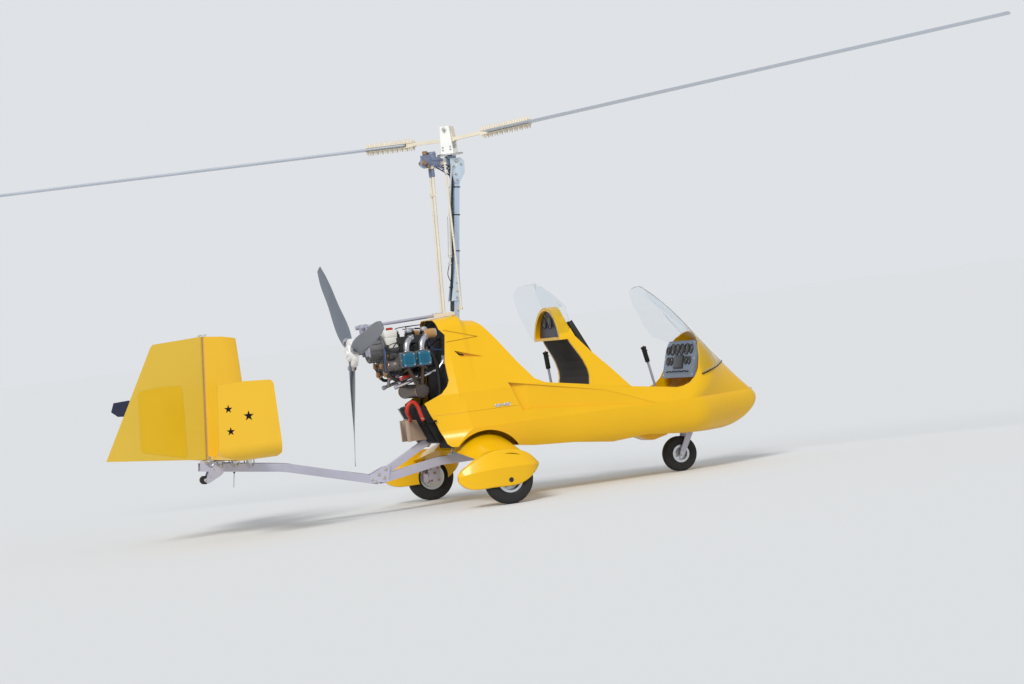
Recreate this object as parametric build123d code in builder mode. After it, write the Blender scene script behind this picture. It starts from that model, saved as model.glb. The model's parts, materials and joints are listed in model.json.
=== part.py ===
"""A two-seat tandem gyrocopter: open cockpits, pusher engine, cantilever tail boom and a teetering
two-blade rotor on a tall mast. Millimetres, +X forward, +Y to the left, +Z up. The origin is on
the ground under the rotor hub.
"""

from build123d import *
from math import cos, radians, sin, tan
import os

os.makedirs("parts", exist_ok=True)

# Landing gear
MAIN_AXLE_X = -172
TRACK = 1800
MAIN_TYRE_DIAMETER = 350
MAIN_TYRE_WIDTH = 100
MAIN_RIM_DIAMETER = 190
NOSE_AXLE_X = 1488
NOSE_TYRE_DIAMETER = 260
NOSE_TYRE_WIDTH = 80
NOSE_RIM_DIAMETER = 130
AXLE_DIAMETER = 24
FORK_TRAIL = 72
RUNNING_GAP = 6

# Body shell
WALL = 6
BODY_REAR_X = -560
TAPER_SLOPE = 0.42
SEAM_Z = 660
KNEE_Z = 800
CREASE_Z = 540
SHOULDER_RADIUS = 290

# Rotor
ROTOR_RADIUS = 4270
BLADE_CHORD = 200
HUB_Z = 2625
TEETER_RISE = 78
ROTOR_AZIMUTH = -43.5
CONE_ANGLE = 2.6
TEETER_TILT = 1.4

# Propeller and engine
PROP_X = -927
PROP_Z = 1180
PROP_RADIUS = 855
PROP_AZIMUTHS = (42, 162, 282)
CRANK_Z = 1085

# Keel, boom and mast
KEEL_TUBE = 60
KEEL_TOP_Z = 356
JOINT_X = -850
JOINT_Z = 250
MAST_TUBE_DEPTH = 38
MAST_TUBE_WIDTH = 22
MAST_SPACING = 50
MAST_FOOT_X = -246
MAST_LEAN = 7.6
MAST_TOP_Z = 2440


def mast_x(z):
    """Centre of the mast at height z."""
    return MAST_FOOT_X + (z - KEEL_TOP_Z) * tan(radians(MAST_LEAN))


# Body shell, made of level outlines for the hull and of upright outlines for the upper body

# z, nose x, nose radius, nose half angle, half width, x where the sides turn inwards
LOWER_LEVELS = (
    (281, 1840, 120, 32, 215, -360),
    (330, 2010, 110, 30, 305, -350),
    (420, 2125, 100, 29, 350, -325),
    (CREASE_Z, 2112, 100, 28, 368, -205),
)
UPPER_LEVELS = (
    (CREASE_Z, 2112, 100, 28, 368, -205),
    (700, 1955, 200, 42, 352, -245),
    (1000, 1700, 320, 58, 330, -300),
    (1400, 1312, 320, 60, 318, -330),
)
# The sides turn inwards behind a slanted crease, which crosses the seam, the knee and the top
SEAM_TURN_X = -235
KNEE_TURN_X = -275
TOP_TURN_X = -330
# x, top z: the roof steps up behind the mast
AFT_STATIONS = (
    (800, 1300), (0, 1300), (-119, 1316), (-156, 1358), (SEAM_TURN_X, 1353), (KNEE_TURN_X, 1350),
    (TOP_TURN_X, 1346), (BODY_REAR_X, 1344),
)


def hull(levels, grow=0):
    """Loft through level outlines, each pushed out by grow (or in, when it is negative)."""
    with BuildPart() as body:
        for z, nose_x, nose_radius, half_angle, half_width, turn_x in levels:
            angle = radians(half_angle)
            radius = nose_radius + grow
            width = half_width + grow
            corner_x = nose_x + grow + radius * (1 / sin(angle) - 1)
            shoulder_x = corner_x - width / tan(angle)
            rear = width - TAPER_SLOPE * (turn_x - BODY_REAR_X)
            points = (
                (corner_x, 0),
                (shoulder_x, width),
                (turn_x, width),
                (BODY_REAR_X, rear),
                (BODY_REAR_X, -rear),
                (turn_x, -width),
                (shoulder_x, -width),
            )
            radii = (radius, SHOULDER_RADIUS, 0, 0, 0, 0, SHOULDER_RADIUS)
            with BuildSketch(Plane.XY.offset(z)):
                with BuildLine():
                    FilletPolyline(*points, radius=radii, close=True)
                make_face()
        loft()
    return body.part


def upper_body(grow=0, top_radius=110):
    """Loft through the upright outlines of the rear upper body."""
    with BuildPart() as body:
        for x, top_z in AFT_STATIONS:
            seam = 355 + grow - TAPER_SLOPE * max(0, SEAM_TURN_X - x)
            knee = 342 + grow - TAPER_SLOPE * max(0, KNEE_TURN_X - x)
            top = 200 + grow - TAPER_SLOPE * max(0, TOP_TURN_X - x)
            points = (
                (seam, SEAM_Z),
                (knee, KNEE_Z),
                (top, top_z + grow),
                (-top, top_z + grow),
                (-knee, KNEE_Z),
                (-seam, SEAM_Z),
            )
            radii = (0, 0, top_radius + grow, top_radius + grow, 0, 0)
            with BuildSketch(Plane.YZ.offset(x)):
                with BuildLine():
                    FilletPolyline(*points, radius=radii, close=True)
                make_face()
        loft(ruled=True)
    return body.part


def side_profile(points, half_width=500, grow=0):
    """A prism of a side view outline, across the whole body, pushed out by grow."""
    with BuildPart() as prism:
        with BuildSketch(Plane.XZ):
            with BuildLine():
                Polyline(*points, close=True)
            make_face()
            if grow:
                offset(amount=grow)
        extrude(amount=half_width, both=True)
    return prism.part


def recess(outline, floor, grow=0):
    """Room on both sides of the body, inside a side view outline and outside a top view floor line."""
    with BuildPart() as room:
        with BuildSketch():
            for side in (1, -1):
                with BuildLine():
                    Polyline(
                        *((x, side * (y - grow)) for x, y in floor),
                        (floor[-1][0], side * 500), (floor[0][0], side * 500), close=True,
                    )
                make_face()
        extrude(amount=1400)
        add(side_profile(outline, 500, grow), mode=Mode.INTERSECT)
    return room.part


# Lower body: floor and sides from the nose to the engine bay, open at the top and at the back
LOWER_SIDE = (
    (-472, SEAM_Z), (-440, 588), (-396, 450), (-370, 426), (-333, 421), (60, 385),
    (255, 357), (565, 338), (875, 300), (1141, 320), (1449, 288), (1674, 281), (2200, 281),
    (2200, CREASE_Z), (1395, CREASE_Z), (1395, 633), (1034, 686), (387, 798), (352, SEAM_Z),
)
INNER_SIDE = (
    (-700, 900), (-700, 427), (60, 391), (255, 363), (565, 344), (875, 306),
    (1141, 326), (1449, 294), (1674, 290), (2200, 290), (2200, 900),
)
# A gear leg leaves the side of the hull through an arch
ARCH_REAR = (-345, 400)
ARCH_TOP = (-100, 514)
ARCH_FRONT = (148, 350)
ARCH_DEPTH = 200
NOSE_LEG_X = NOSE_AXLE_X + FORK_TRAIL
NOSE_LEG_HOLE = 88

with BuildPart() as arches:
    for side in (1, -1):
        with BuildSketch(Plane.XZ.offset(-side * ARCH_DEPTH)):
            with BuildLine():
                ThreePointArc(ARCH_REAR, ARCH_TOP, ARCH_FRONT)
                Polyline(ARCH_FRONT, (ARCH_FRONT[0], 300), (ARCH_REAR[0], 300), ARCH_REAR)
            make_face()
        extrude(amount=-side * 300)
leg_arches = arches.part

# Air inlets: channels in the sides that grow deeper towards the back, with a lining inside the shell
INLET_SIDE = ((110, 831), (824, 687), (1014, 618), (1220, 537), (260, 623), (188, 619))
INLET_FLOOR = ((0, 296), (120, 296), (245, 330), (1300, 367))
SCOOP_SIDE = ((-243, 1106), (-33, 1040), (-203, 1053))
SCOOP_FLOOR = ((-400, 225), (-240, 225), (-33, 270), (100, 296))
LINING = 5
with BuildPart() as channels:
    add(recess(INLET_SIDE, INLET_FLOOR))
    add(recess(SCOOP_SIDE, SCOOP_FLOOR))
with BuildPart() as linings:
    add(recess(INLET_SIDE, INLET_FLOOR, LINING))
    add(recess(SCOOP_SIDE, SCOOP_FLOOR, LINING))

inner_lower = hull(LOWER_LEVELS, -WALL)
inner_upper = hull(UPPER_LEVELS, -WALL)
outer_lower = hull(LOWER_LEVELS)
outer_upper = hull(UPPER_LEVELS)
inner_clip = side_profile(INNER_SIDE)

with BuildPart() as tub:
    add(outer_lower)
    add(outer_upper)
    add(side_profile(LOWER_SIDE), mode=Mode.INTERSECT)
    with BuildPart(mode=Mode.PRIVATE) as cavity:
        add(inner_lower)
        add(inner_upper)
        add(inner_clip, mode=Mode.INTERSECT)
    add(cavity.part, mode=Mode.SUBTRACT)
    with BuildPart(mode=Mode.PRIVATE) as lower_lining:
        add(linings.part)
        add(cavity.part, mode=Mode.INTERSECT)
        add(side_profile(LOWER_SIDE), mode=Mode.INTERSECT)
    add(lower_lining.part)
    add(channels.part, mode=Mode.SUBTRACT)
    add(leg_arches, mode=Mode.SUBTRACT)
    with Locations((MAST_FOOT_X, 0, 410)):
        Box(MAST_TUBE_DEPTH + 50, MAST_SPACING + MAST_TUBE_WIDTH + 30, 80, mode=Mode.SUBTRACT)
    with BuildSketch(Plane.XY.offset(270)):
        with Locations((NOSE_LEG_X, 0)):
            Circle(NOSE_LEG_HOLE)
    extrude(amount=60, mode=Mode.SUBTRACT)
tub.part.label = "fuselage_tub"
export_step(tub.part, "parts/fuselage_tub.step")

# Nose deck above the crease, with its raised hoop round the front cockpit
DECK_SIDE = (
    (2300, CREASE_Z), (1395, CREASE_Z), (1395, 633), (1445, 638), (1500, 656), (1547, 695),
    (1580, 750), (1603, 830), (1618, 915), (1650, 975), (1690, 1040), (2300, 1040),
)
with BuildPart() as deck:
    add(outer_upper)
    add(side_profile(DECK_SIDE), mode=Mode.INTERSECT)
    add(inner_upper, mode=Mode.SUBTRACT)
deck.part.label = "nose_deck"
export_step(deck.part, "parts/nose_deck.step")

# Windscreen: one curved sheet laid over the nose deck and swept back above it
SCREEN_THICKNESS = 4
SCREEN_GAP = 0.5
SCREEN_SIDE = (
    (1935, 787), (1605, 700), (1598, 760), (1607, 830), (1621, 915), (1604, 958), (1510, 1006),
    (1445, 1098), (1392, 1196), (1346, 1262), (1318, 1325), (1309, 1368), (1318, 1397), (1935, 1397),
)
with BuildPart() as screen:
    add(hull(UPPER_LEVELS, SCREEN_GAP + SCREEN_THICKNESS))
    add(hull(UPPER_LEVELS, SCREEN_GAP), mode=Mode.SUBTRACT)
    add(side_profile(SCREEN_SIDE), mode=Mode.INTERSECT)
screen.part.label = "front_windscreen"
export_step(screen.part, "parts/front_windscreen.step")

# Rear upper body: walls from the seam up to the mast, open in front for the rear seat and
# open behind for the engine
FAIRING_SIDE = (
    (352, SEAM_Z), (387, 798), (315, 836), (216, 965), (88, 1155), (3, 1267), (-38, 1304),
    (-60, 1400), (-347, 1400), (-337, 1340), (-325, 1273), (-287, 1226), (-302, 1154),
    (-326, 1030), (-322, 900), (-340, 860), (-384, 813), (-508, 756), (-472, SEAM_Z),
)
inner_rear = upper_body(-WALL)
with BuildPart() as fairing:
    add(upper_body())
    add(inner_rear, mode=Mode.SUBTRACT)
    with BuildPart(mode=Mode.PRIVATE) as upper_lining:
        add(linings.part)
        add(inner_rear, mode=Mode.INTERSECT)
    add(upper_lining.part)
    add(channels.part, mode=Mode.SUBTRACT)
    add(side_profile(FAIRING_SIDE), mode=Mode.INTERSECT)
    with BuildSketch(Plane.XY.offset(1270)):
        with Locations((mast_x(1330), 0)):
            Rectangle(MAST_TUBE_DEPTH + 34, MAST_SPACING + MAST_TUBE_WIDTH + 30)
    extrude(amount=120, mode=Mode.SUBTRACT)
fairing.part.label = "rear_fairing"
export_step(fairing.part, "parts/rear_fairing.step")

# Hoop behind the front seat: two raked pillars that meet in an arched hood
PILLAR_WALL = 24
HOOD_FOOT_HALF = 363
HOOD_LIP_HALF = 277
HOOD_LIP_Z = 1085
HOOD_TOP_Z = 1328
PILLAR_SIDE = (
    (1040, 685), (913, 835), (776, 984), (684, 1100), (645, 1200), (640, 1260), (652, 1345),
    (574, 1345), (563, HOOD_LIP_Z), (628, HOOD_LIP_Z), (638, 1059), (690, 965), (713, 918),
    (735, 850), (739, 800), (728, 739),
)


def hood_section(inset=0):
    """Arched outline of the hood, across the body, filled in down to the sill."""
    foot = HOOD_FOOT_HALF - inset
    lip = HOOD_LIP_HALF - inset
    with BuildPart() as body:
        with BuildSketch(Plane.YZ.offset(500)):
            with BuildLine():
                Polyline((-lip, HOOD_LIP_Z), (-foot, 650), (foot, 650), (lip, HOOD_LIP_Z))
                ThreePointArc((-lip, HOOD_LIP_Z), (0, HOOD_TOP_Z - inset), (lip, HOOD_LIP_Z))
            make_face()
        extrude(amount=600)
    return body.part


with BuildPart() as hood:
    add(hood_section())
    add(hood_section(PILLAR_WALL), mode=Mode.SUBTRACT)
    with Locations((590, 0, HOOD_LIP_Z + 10)):
        Box(90, 2 * HOOD_LIP_HALF - 20, 20)
    add(side_profile(PILLAR_SIDE), mode=Mode.INTERSECT)
hood.part.label = "headrest_hood"
export_step(hood.part, "parts/headrest_hood.step")

# Small panel that closes the back of the hood
with BuildPart() as rear_panel:
    add(hood_section(PILLAR_WALL))
    with Locations((606, 0, HOOD_LIP_Z + 21)):
        Box(8, 600, 400, align=(Align.CENTER, Align.CENTER, Align.MIN), mode=Mode.INTERSECT)
rear_panel.part.label = "rear_instrument_panel"
export_step(rear_panel.part, "parts/rear_instrument_panel.step")

# Small windscreen of the rear seat
REAR_SCREEN_RADIUS = 250
# z, apex x
REAR_SCREEN_LEVELS = ((1090, 925), (1310, 715), (1440, 595), (1520, 480))
REAR_SCREEN_SIDE = (
    (686, 1108), (666, 1215), (672, 1290), (720, 1320), (560, 1520), (455, 1502),
    (430, 1440), (470, 1280), (545, 1100),
)
with BuildPart() as rear_screen:
    for grow, mode in ((SCREEN_THICKNESS, Mode.ADD), (0, Mode.SUBTRACT)):
        with BuildPart(mode=Mode.PRIVATE) as sheet:
            for z, apex_x in REAR_SCREEN_LEVELS:
                radius = REAR_SCREEN_RADIUS + 12 + grow
                centre_x = apex_x - REAR_SCREEN_RADIUS
                with BuildSketch(Plane.XY.offset(z)):
                    with BuildLine():
                        ThreePointArc((centre_x, radius), (centre_x + radius, 0), (centre_x, -radius))
                        Polyline(
                            (centre_x, -radius), (0, -radius), (0, radius), (centre_x, radius)
                        )
                    make_face()
            loft()
        add(sheet.part, mode=mode)
    add(side_profile(REAR_SCREEN_SIDE), mode=Mode.INTERSECT)
    add(hood.part, mode=Mode.SUBTRACT)
rear_screen.part.label = "rear_windscreen"
export_step(rear_screen.part, "parts/rear_windscreen.step")

# Instrument panel inside the hoop
with BuildPart() as panel:
    add(inner_upper)
    with BuildPart(mode=Mode.PRIVATE) as slab:
        with BuildSketch(Plane.XZ):
            with BuildLine():
                Polyline((1545, 690), (1621, 956), (1646, 956), (1570, 690), close=True)
            make_face()
        extrude(amount=300, both=True)
    add(slab.part, mode=Mode.INTERSECT)
panel.part.label = "instrument_panel"
export_step(panel.part, "parts/instrument_panel.step")

# Seats: bucket shells with a raked back, drawn as a side view path with a constant thickness
SEAT_THICKNESS = 45
SEAT_WIDTH = 430
FRONT_SEAT = ((665, 1200), (985, 560), (1060, 500), (1350, 520))
REAR_SEAT = ((-15, 1180), (175, 590), (250, 530), (500, 545))


def seat(points, width=SEAT_WIDTH):
    """One seat shell along a side view path."""
    with BuildPart() as body:
        with BuildSketch(Plane.XZ):
            with BuildLine():
                path = FilletPolyline(*points, radius=60)
                offset(path, amount=SEAT_THICKNESS, side=Side.LEFT, closed=True)
            make_face()
        extrude(amount=width / 2, both=True)
    return body.part


with BuildPart() as seats:
    add(seat(FRONT_SEAT))
    add(seat(REAR_SEAT))
seats.part.label = "seats"
export_step(seats.part, "parts/seats.step")

# Firewall between the rear seat and the engine
FIREWALL_X = -290
FIREWALL_THICKNESS = 4
with BuildPart() as firewall:
    with BuildPart(mode=Mode.PRIVATE) as bay:
        add(inner_lower)
        add(inner_upper)
        add(inner_clip, mode=Mode.INTERSECT)
        with Locations((0, 0, SEAM_Z)):
            Box(3000, 900, 900, align=(Align.CENTER, Align.CENTER, Align.MIN), mode=Mode.SUBTRACT)
        add(inner_rear)
    with Locations((FIREWALL_X, 0, 900)):
        Box(FIREWALL_THICKNESS, 900, 1200)
    add(bay.part, mode=Mode.INTERSECT)
    add(leg_arches, mode=Mode.SUBTRACT)
firewall.part.label = "firewall"
export_step(firewall.part, "parts/firewall.step")

# Sheet behind the front seat, between the pillars
BULKHEAD = ((736, 735), (746, 800), (742, 850), (720, 918), (697, 965), (642, 1062), (632, 1084))
with BuildPart() as bulkhead:
    with BuildSketch(Plane.XZ):
        with BuildLine():
            path = Polyline(*BULKHEAD)
            offset(path, amount=6, side=Side.LEFT, closed=True)
        make_face()
    extrude(amount=400, both=True)
    add(hood_section(PILLAR_WALL), mode=Mode.INTERSECT)
# Boxes that carry the seats off the floor, and that sheet
with BuildPart() as seat_boxes:
    for x, length, top_z in ((1190, 220, 540), (370, 180, 560)):
        with Locations((x, 0, top_z)):
            Box(length, 340, 300, align=(Align.CENTER, Align.CENTER, Align.MAX))
    add(inner_clip, mode=Mode.INTERSECT)
    add(seats.part, mode=Mode.SUBTRACT)
    add(bulkhead.part)
seat_boxes.part.label = "seat_supports"
export_step(seat_boxes.part, "parts/seat_supports.step")

# Control sticks: a raked tube with a grip, one for each seat
# foot x, foot z, top x, grip start z, top z
STICKS = ((1430, 296, 1309, 835, 940), (585, 344, 540, 882, 996))
STICK_RADIUS = 9
GRIP_RADIUS = 17
with BuildPart() as sticks:
    for foot_x, foot_z, top_x, grip_z, top_z in STICKS:
        foot = Vector(foot_x, 0, foot_z)
        top = Vector(top_x, 0, top_z)
        direction = (top - foot).normalized()
        grip_start = foot + direction * ((grip_z - foot_z) / direction.Z)
        with BuildSketch(Plane(origin=foot, z_dir=direction)):
            Circle(STICK_RADIUS)
        extrude(amount=(grip_start - foot).length + 1)
        with BuildSketch(Plane(origin=grip_start, z_dir=direction)):
            Circle(GRIP_RADIUS)
        extrude(amount=(top - grip_start).length)
    add(tub.part, mode=Mode.SUBTRACT)
sticks.part.label = "control_sticks"
export_step(sticks.part, "parts/control_sticks.step")


# Frame: keel tube, boom, strut and mast


def tube_run(points, size, wall, radius=200):
    """A square tube in the middle plane, along a side view path with rounded bends."""
    with BuildPart() as tube:
        with BuildLine(Plane.XZ) as path:
            if len(points) > 2:
                FilletPolyline(*points, radius=radius)
            else:
                Line(*points)
        start = Plane(origin=path.line @ 0, z_dir=path.line % 0, x_dir=(0, 1, 0))
        with BuildSketch(start):
            Rectangle(size, size)
            Rectangle(size - 2 * wall, size - 2 * wall, mode=Mode.SUBTRACT)
        sweep(path=path.line)
    return tube.part


KEEL_PATH = ((JOINT_X + 12, JOINT_Z + 2), (-370, KEEL_TOP_Z - KEEL_TUBE / 2), (110, KEEL_TOP_Z - KEEL_TUBE / 2))
BOOM_PATH = ((JOINT_X - 2, JOINT_Z), (-1520, 432), (-2147, 518))
BOOM_TUBE = KEEL_TUBE
STRUT_PATH = ((-800, 300), (-300, 553))
TUBE_WALL = 3

keel = tube_run(KEEL_PATH, KEEL_TUBE, TUBE_WALL, 300)
keel.label = "keel_tube"
export_step(keel, "parts/keel_tube.step")
boom = tube_run(BOOM_PATH, BOOM_TUBE, TUBE_WALL, 900)
boom.label = "tail_boom"
export_step(boom, "parts/tail_boom.step")

with BuildPart() as strut:
    add(tube_run(STRUT_PATH, 50, TUBE_WALL))
    with BuildPart(mode=Mode.PRIVATE) as below:
        with BuildSketch(Plane.XZ):
            with BuildLine():
                keel_top = JOINT_Z + 2 + KEEL_TUBE / 2 / cos(radians(9))
                Polyline(
                    (JOINT_X - 200, keel_top - 32), (JOINT_X + 12, keel_top),
                    (-370, KEEL_TOP_Z + 1), (-370, 100), (JOINT_X - 200, 100), close=True,
                )
            make_face()
        extrude(amount=100, both=True)
    add(below.part, mode=Mode.SUBTRACT)
    add(firewall.part, mode=Mode.SUBTRACT)
    with Locations((-600, 0, 0)):
        Box(2 * (FIREWALL_X - FIREWALL_THICKNESS / 2 + 600), 200, 2000, mode=Mode.INTERSECT)
# Side plates that pin keel, strut and boom together
JOINT_PLATE = 6
with BuildPart() as joint_plates:
    for side in (1, -1):
        with BuildSketch(Plane.XZ.offset(-side * BOOM_TUBE / 2)):
            with BuildLine():
                Polyline(
                    (JOINT_X - 70, JOINT_Z - 12), (JOINT_X + 70, JOINT_Z - 20),
                    (JOINT_X + 95, JOINT_Z + 95), (JOINT_X + 45, JOINT_Z + 90),
                    (JOINT_X - 70, JOINT_Z + 44), close=True,
                )
            make_face()
        extrude(amount=-side * JOINT_PLATE)
    add(strut.part)
joint_plates.part.label = "boom_braces"
export_step(joint_plates.part, "parts/boom_braces.step")

# Mast: two parallel tubes, gusset plates at the foot and cheek plates at the head
mast_direction = Vector(tan(radians(MAST_LEAN)), 0, 1).normalized()
GUSSET_FOOT_Z = 1462
GUSSET_TIP_Z = 1780
CHEEK_THICKNESS = 8
cheek_y = MAST_SPACING / 2 + MAST_TUBE_WIDTH / 2
with BuildPart() as mast_tubes:
    with BuildPart(mode=Mode.PRIVATE) as legs:
        for side in (1, -1):
            foot = Plane(
                origin=(MAST_FOOT_X, side * MAST_SPACING / 2, KEEL_TOP_Z),
                z_dir=mast_direction, x_dir=(0, 1, 0),
            )
            with BuildSketch(foot):
                Rectangle(MAST_TUBE_WIDTH, MAST_TUBE_DEPTH)
                Rectangle(MAST_TUBE_WIDTH - 6, MAST_TUBE_DEPTH - 6, mode=Mode.SUBTRACT)
            extrude(amount=(MAST_TOP_Z - KEEL_TOP_Z) / mast_direction.Z)
    add(legs.part)
    for z in (600, 1500, 1900, 2300):
        with Locations((mast_x(z), 0, z)):
            Box(30, MAST_SPACING - MAST_TUBE_WIDTH, 40)
    with Locations((MAST_FOOT_X, 0, KEEL_TOP_Z)):
        Box(90, MAST_SPACING + MAST_TUBE_WIDTH + 10, 10, align=(Align.CENTER, Align.CENTER, Align.MIN))
with BuildPart() as mast:
    for side in (1, -1):
        with BuildSketch(Plane.XZ.offset(-side * cheek_y)):
            with BuildLine():
                x_low = mast_x(GUSSET_FOOT_Z)
                Polyline(
                    (x_low - 42, GUSSET_FOOT_Z), (x_low + 34, GUSSET_FOOT_Z),
                    (mast_x(GUSSET_TIP_Z) + 8, GUSSET_TIP_Z), (mast_x(GUSSET_TIP_Z) - 8, GUSSET_TIP_Z),
                    close=True,
                )
            make_face()
            with BuildLine():
                Polyline(
                    (mast_x(2310) - 19, 2310), (mast_x(2310) + 19, 2310), (82, 2380), (88, 2462),
                    (60, 2490), (-20, 2490), (-20, 2400), close=True,
                )
            make_face()
        extrude(amount=-side * CHEEK_THICKNESS)
    add(mast_tubes.part)
    add(keel, mode=Mode.SUBTRACT)
mast.part.label = "mast"
export_step(mast.part, "parts/mast.step")

# Rotor head below the turning hub: pitch and roll block, spindle and the arm that the rods drive
HEAD_AXIS_Z = 2468
ARM_TIP_X = -232
SPINDLE_RADIUS = 19
RING_GEAR_Z = HUB_Z - 110
with BuildPart() as rotor_head:
    with BuildSketch(Plane.XZ):
        with BuildLine():
            Polyline(
                (48, 2445), (48, 2488), (-60, 2496), (-150, 2512), (-225, 2502), (ARM_TIP_X, 2460),
                (-205, 2440), (-120, 2440), close=True,
            )
        make_face()
    extrude(amount=26, both=True)
    with BuildSketch(Plane.XZ):
        with Locations((28, HEAD_AXIS_Z)):
            Circle(13)
    extrude(amount=cheek_y, both=True)
    with Locations((0, 0, 2486)):
        Cylinder(42, RING_GEAR_Z - 6 - 2486, align=(Align.CENTER, Align.CENTER, Align.MIN))
    with Locations((0, 0, 2486)):
        Cylinder(SPINDLE_RADIUS, HUB_Z - 70 - 2486, align=(Align.CENTER, Align.CENTER, Align.MIN))
    # Pre-rotator gearbox, on the arm beside the ring gear
    with Locations((-140, 0, 2500)):
        Cylinder(30, 52, align=(Align.CENTER, Align.CENTER, Align.MIN))
    with Locations((-190, 0, 2500)):
        Box(60, 52, 34, align=(Align.CENTER, Align.CENTER, Align.MIN))
    add(mast.part, mode=Mode.SUBTRACT)
rotor_head.part.label = "rotor_head"
export_step(rotor_head.part, "parts/rotor_head.step")


def rod(start, end, radius):
    """A round bar from start to end."""
    start = Vector(*start)
    end = Vector(*end)
    with BuildPart() as bar:
        with BuildSketch(Plane(origin=start, z_dir=end - start)):
            Circle(radius)
        extrude(amount=(end - start).length)
    return bar.part


# Push-pull rods behind the mast, and the bracket that holds their feet
ROD_RADIUS = 8
ROD_Y = 32
BRACKET_Z = 1372
DRIVE_Y = -90
with BuildPart() as rods:
    for y in (-ROD_Y, ROD_Y):
        add(rod((-205, y, BRACKET_Z), (-157, y, 2439), ROD_RADIUS))
    with Locations((-166, 0, 2241)):
        Box(24, 2 * ROD_Y + 20, 22)
    with Locations((-157, 0, 2446)):
        Box(20, 2 * ROD_Y + 16, 14)
    # Pre-rotator shaft beside the mast, between its two bearing blocks
    add(rod((-89, DRIVE_Y, 1400), (-78, DRIVE_Y, 2455), 7))
    with Locations((-78, DRIVE_Y / 2 - 8, 2461)):
        Box(24, -DRIVE_Y - 8, 24)
    with Locations((-95, DRIVE_Y / 2 - 8, 1406)):
        Box(26, -DRIVE_Y - 8, 26)
    add(rotor_head.part, mode=Mode.SUBTRACT)
    with Locations(((-290 + mast_x(BRACKET_Z) - MAST_TUBE_DEPTH / 2) / 2, 0, BRACKET_Z)):
        Box(mast_x(BRACKET_Z) - MAST_TUBE_DEPTH / 2 + 290, MAST_SPACING + 40, 24)
    add(mast.part, mode=Mode.SUBTRACT)
rods.part.label = "push_pull_rods"
export_step(rods.part, "parts/push_pull_rods.step")

# Trim cylinder beside the mast
trim_y = -(cheek_y + CHEEK_THICKNESS + 18)
with BuildPart() as trim:
    add(rod((-118, trim_y, 1776), (-86, trim_y, 2072), 15))
    add(rod((-124, trim_y, 1720), (-118, trim_y, 1780), 6))
    add(rod((-86, trim_y, 2068), (-20, trim_y, 2440), 6))
    add(rod((-124, -cheek_y + 2, 1735), (-124, trim_y - 8, 1735), 9))
    add(rod((-18, -cheek_y - CHEEK_THICKNESS, 2440), (-18, trim_y - 8, 2440), 9))
    add(mast.part, mode=Mode.SUBTRACT)
trim.part.label = "trim_cylinder"
export_step(trim.part, "parts/trim_cylinder.step")

# Turning hub: ring gear, base and two cheeks with the teeter bolt between them
rotor_plane = Plane(
    origin=(0, 0, HUB_Z),
    x_dir=(cos(radians(ROTOR_AZIMUTH)), sin(radians(ROTOR_AZIMUTH)), 0),
    z_dir=(0, 0, 1),
)
RING_GEAR_RADIUS = 92
CHEEK_GAP = 62
TOWER_CHEEK = 12
TEETER_BOLT_RADIUS = 9
TOWER_SIDE = ((-48, -98), (48, -98), (42, 20), (36, 102), (-36, 102), (-42, 20))
teeter_plane = Plane(
    origin=rotor_plane.from_local_coords((0, 0, TEETER_RISE)),
    x_dir=rotor_plane.x_dir,
    z_dir=-rotor_plane.y_dir,
)
tower_plane = Plane(origin=(0, 0, HUB_Z), x_dir=rotor_plane.x_dir, z_dir=-rotor_plane.y_dir)
with BuildPart() as tower:
    with BuildSketch(rotor_plane.offset(RING_GEAR_Z - HUB_Z)):
        Circle(RING_GEAR_RADIUS)
    extrude(amount=12)
    with BuildSketch(rotor_plane.offset(-98)):
        Rectangle(96, CHEEK_GAP + 2 * TOWER_CHEEK)
    extrude(amount=34)
    with BuildSketch(tower_plane):
        with BuildLine():
            Polyline(*TOWER_SIDE, close=True)
        make_face()
    extrude(amount=CHEEK_GAP / 2 + TOWER_CHEEK, both=True)
    with BuildSketch(rotor_plane.offset(-64)):
        Rectangle(200, CHEEK_GAP)
    extrude(amount=300, mode=Mode.SUBTRACT)
    with BuildSketch(teeter_plane):
        Circle(TEETER_BOLT_RADIUS)
    extrude(amount=CHEEK_GAP / 2 + TOWER_CHEEK + 12, both=True)
    with BuildSketch(rotor_plane.offset(RING_GEAR_Z - HUB_Z)):
        Circle(SPINDLE_RADIUS + 0.4)
    extrude(amount=46, mode=Mode.SUBTRACT)
tower.part.label = "rotor_tower"
export_step(tower.part, "parts/rotor_tower.step")

# Teetering assembly: hub bar, straps and blades. Each blade leaves the hub at its own rise
BAR_HALF = 12
BAR_WIDTH = 54
BAR_END_R = 330
STRAP_START_R = 275
STRAP_END_R = 660
STRAP_WIDTH = 66
STRAP_THICKNESS = 7
BLADE_START_R = 335


def blade_plane(index, distance, lift=0):
    """Plane square to a blade at a distance from the hub; x points to the leading edge."""
    rise = radians(CONE_ANGLE + (TEETER_TILT if index == 0 else -TEETER_TILT))
    azimuth = radians(ROTOR_AZIMUTH + 180 * index)
    out = Vector(cos(rise) * cos(azimuth), cos(rise) * sin(azimuth), sin(rise))
    lead = Vector(-sin(azimuth), cos(azimuth), 0)
    up = out.cross(lead)
    return Plane(origin=Vector(0, 0, HUB_Z) + out * distance + up * lift, x_dir=lead, z_dir=out)


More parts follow.
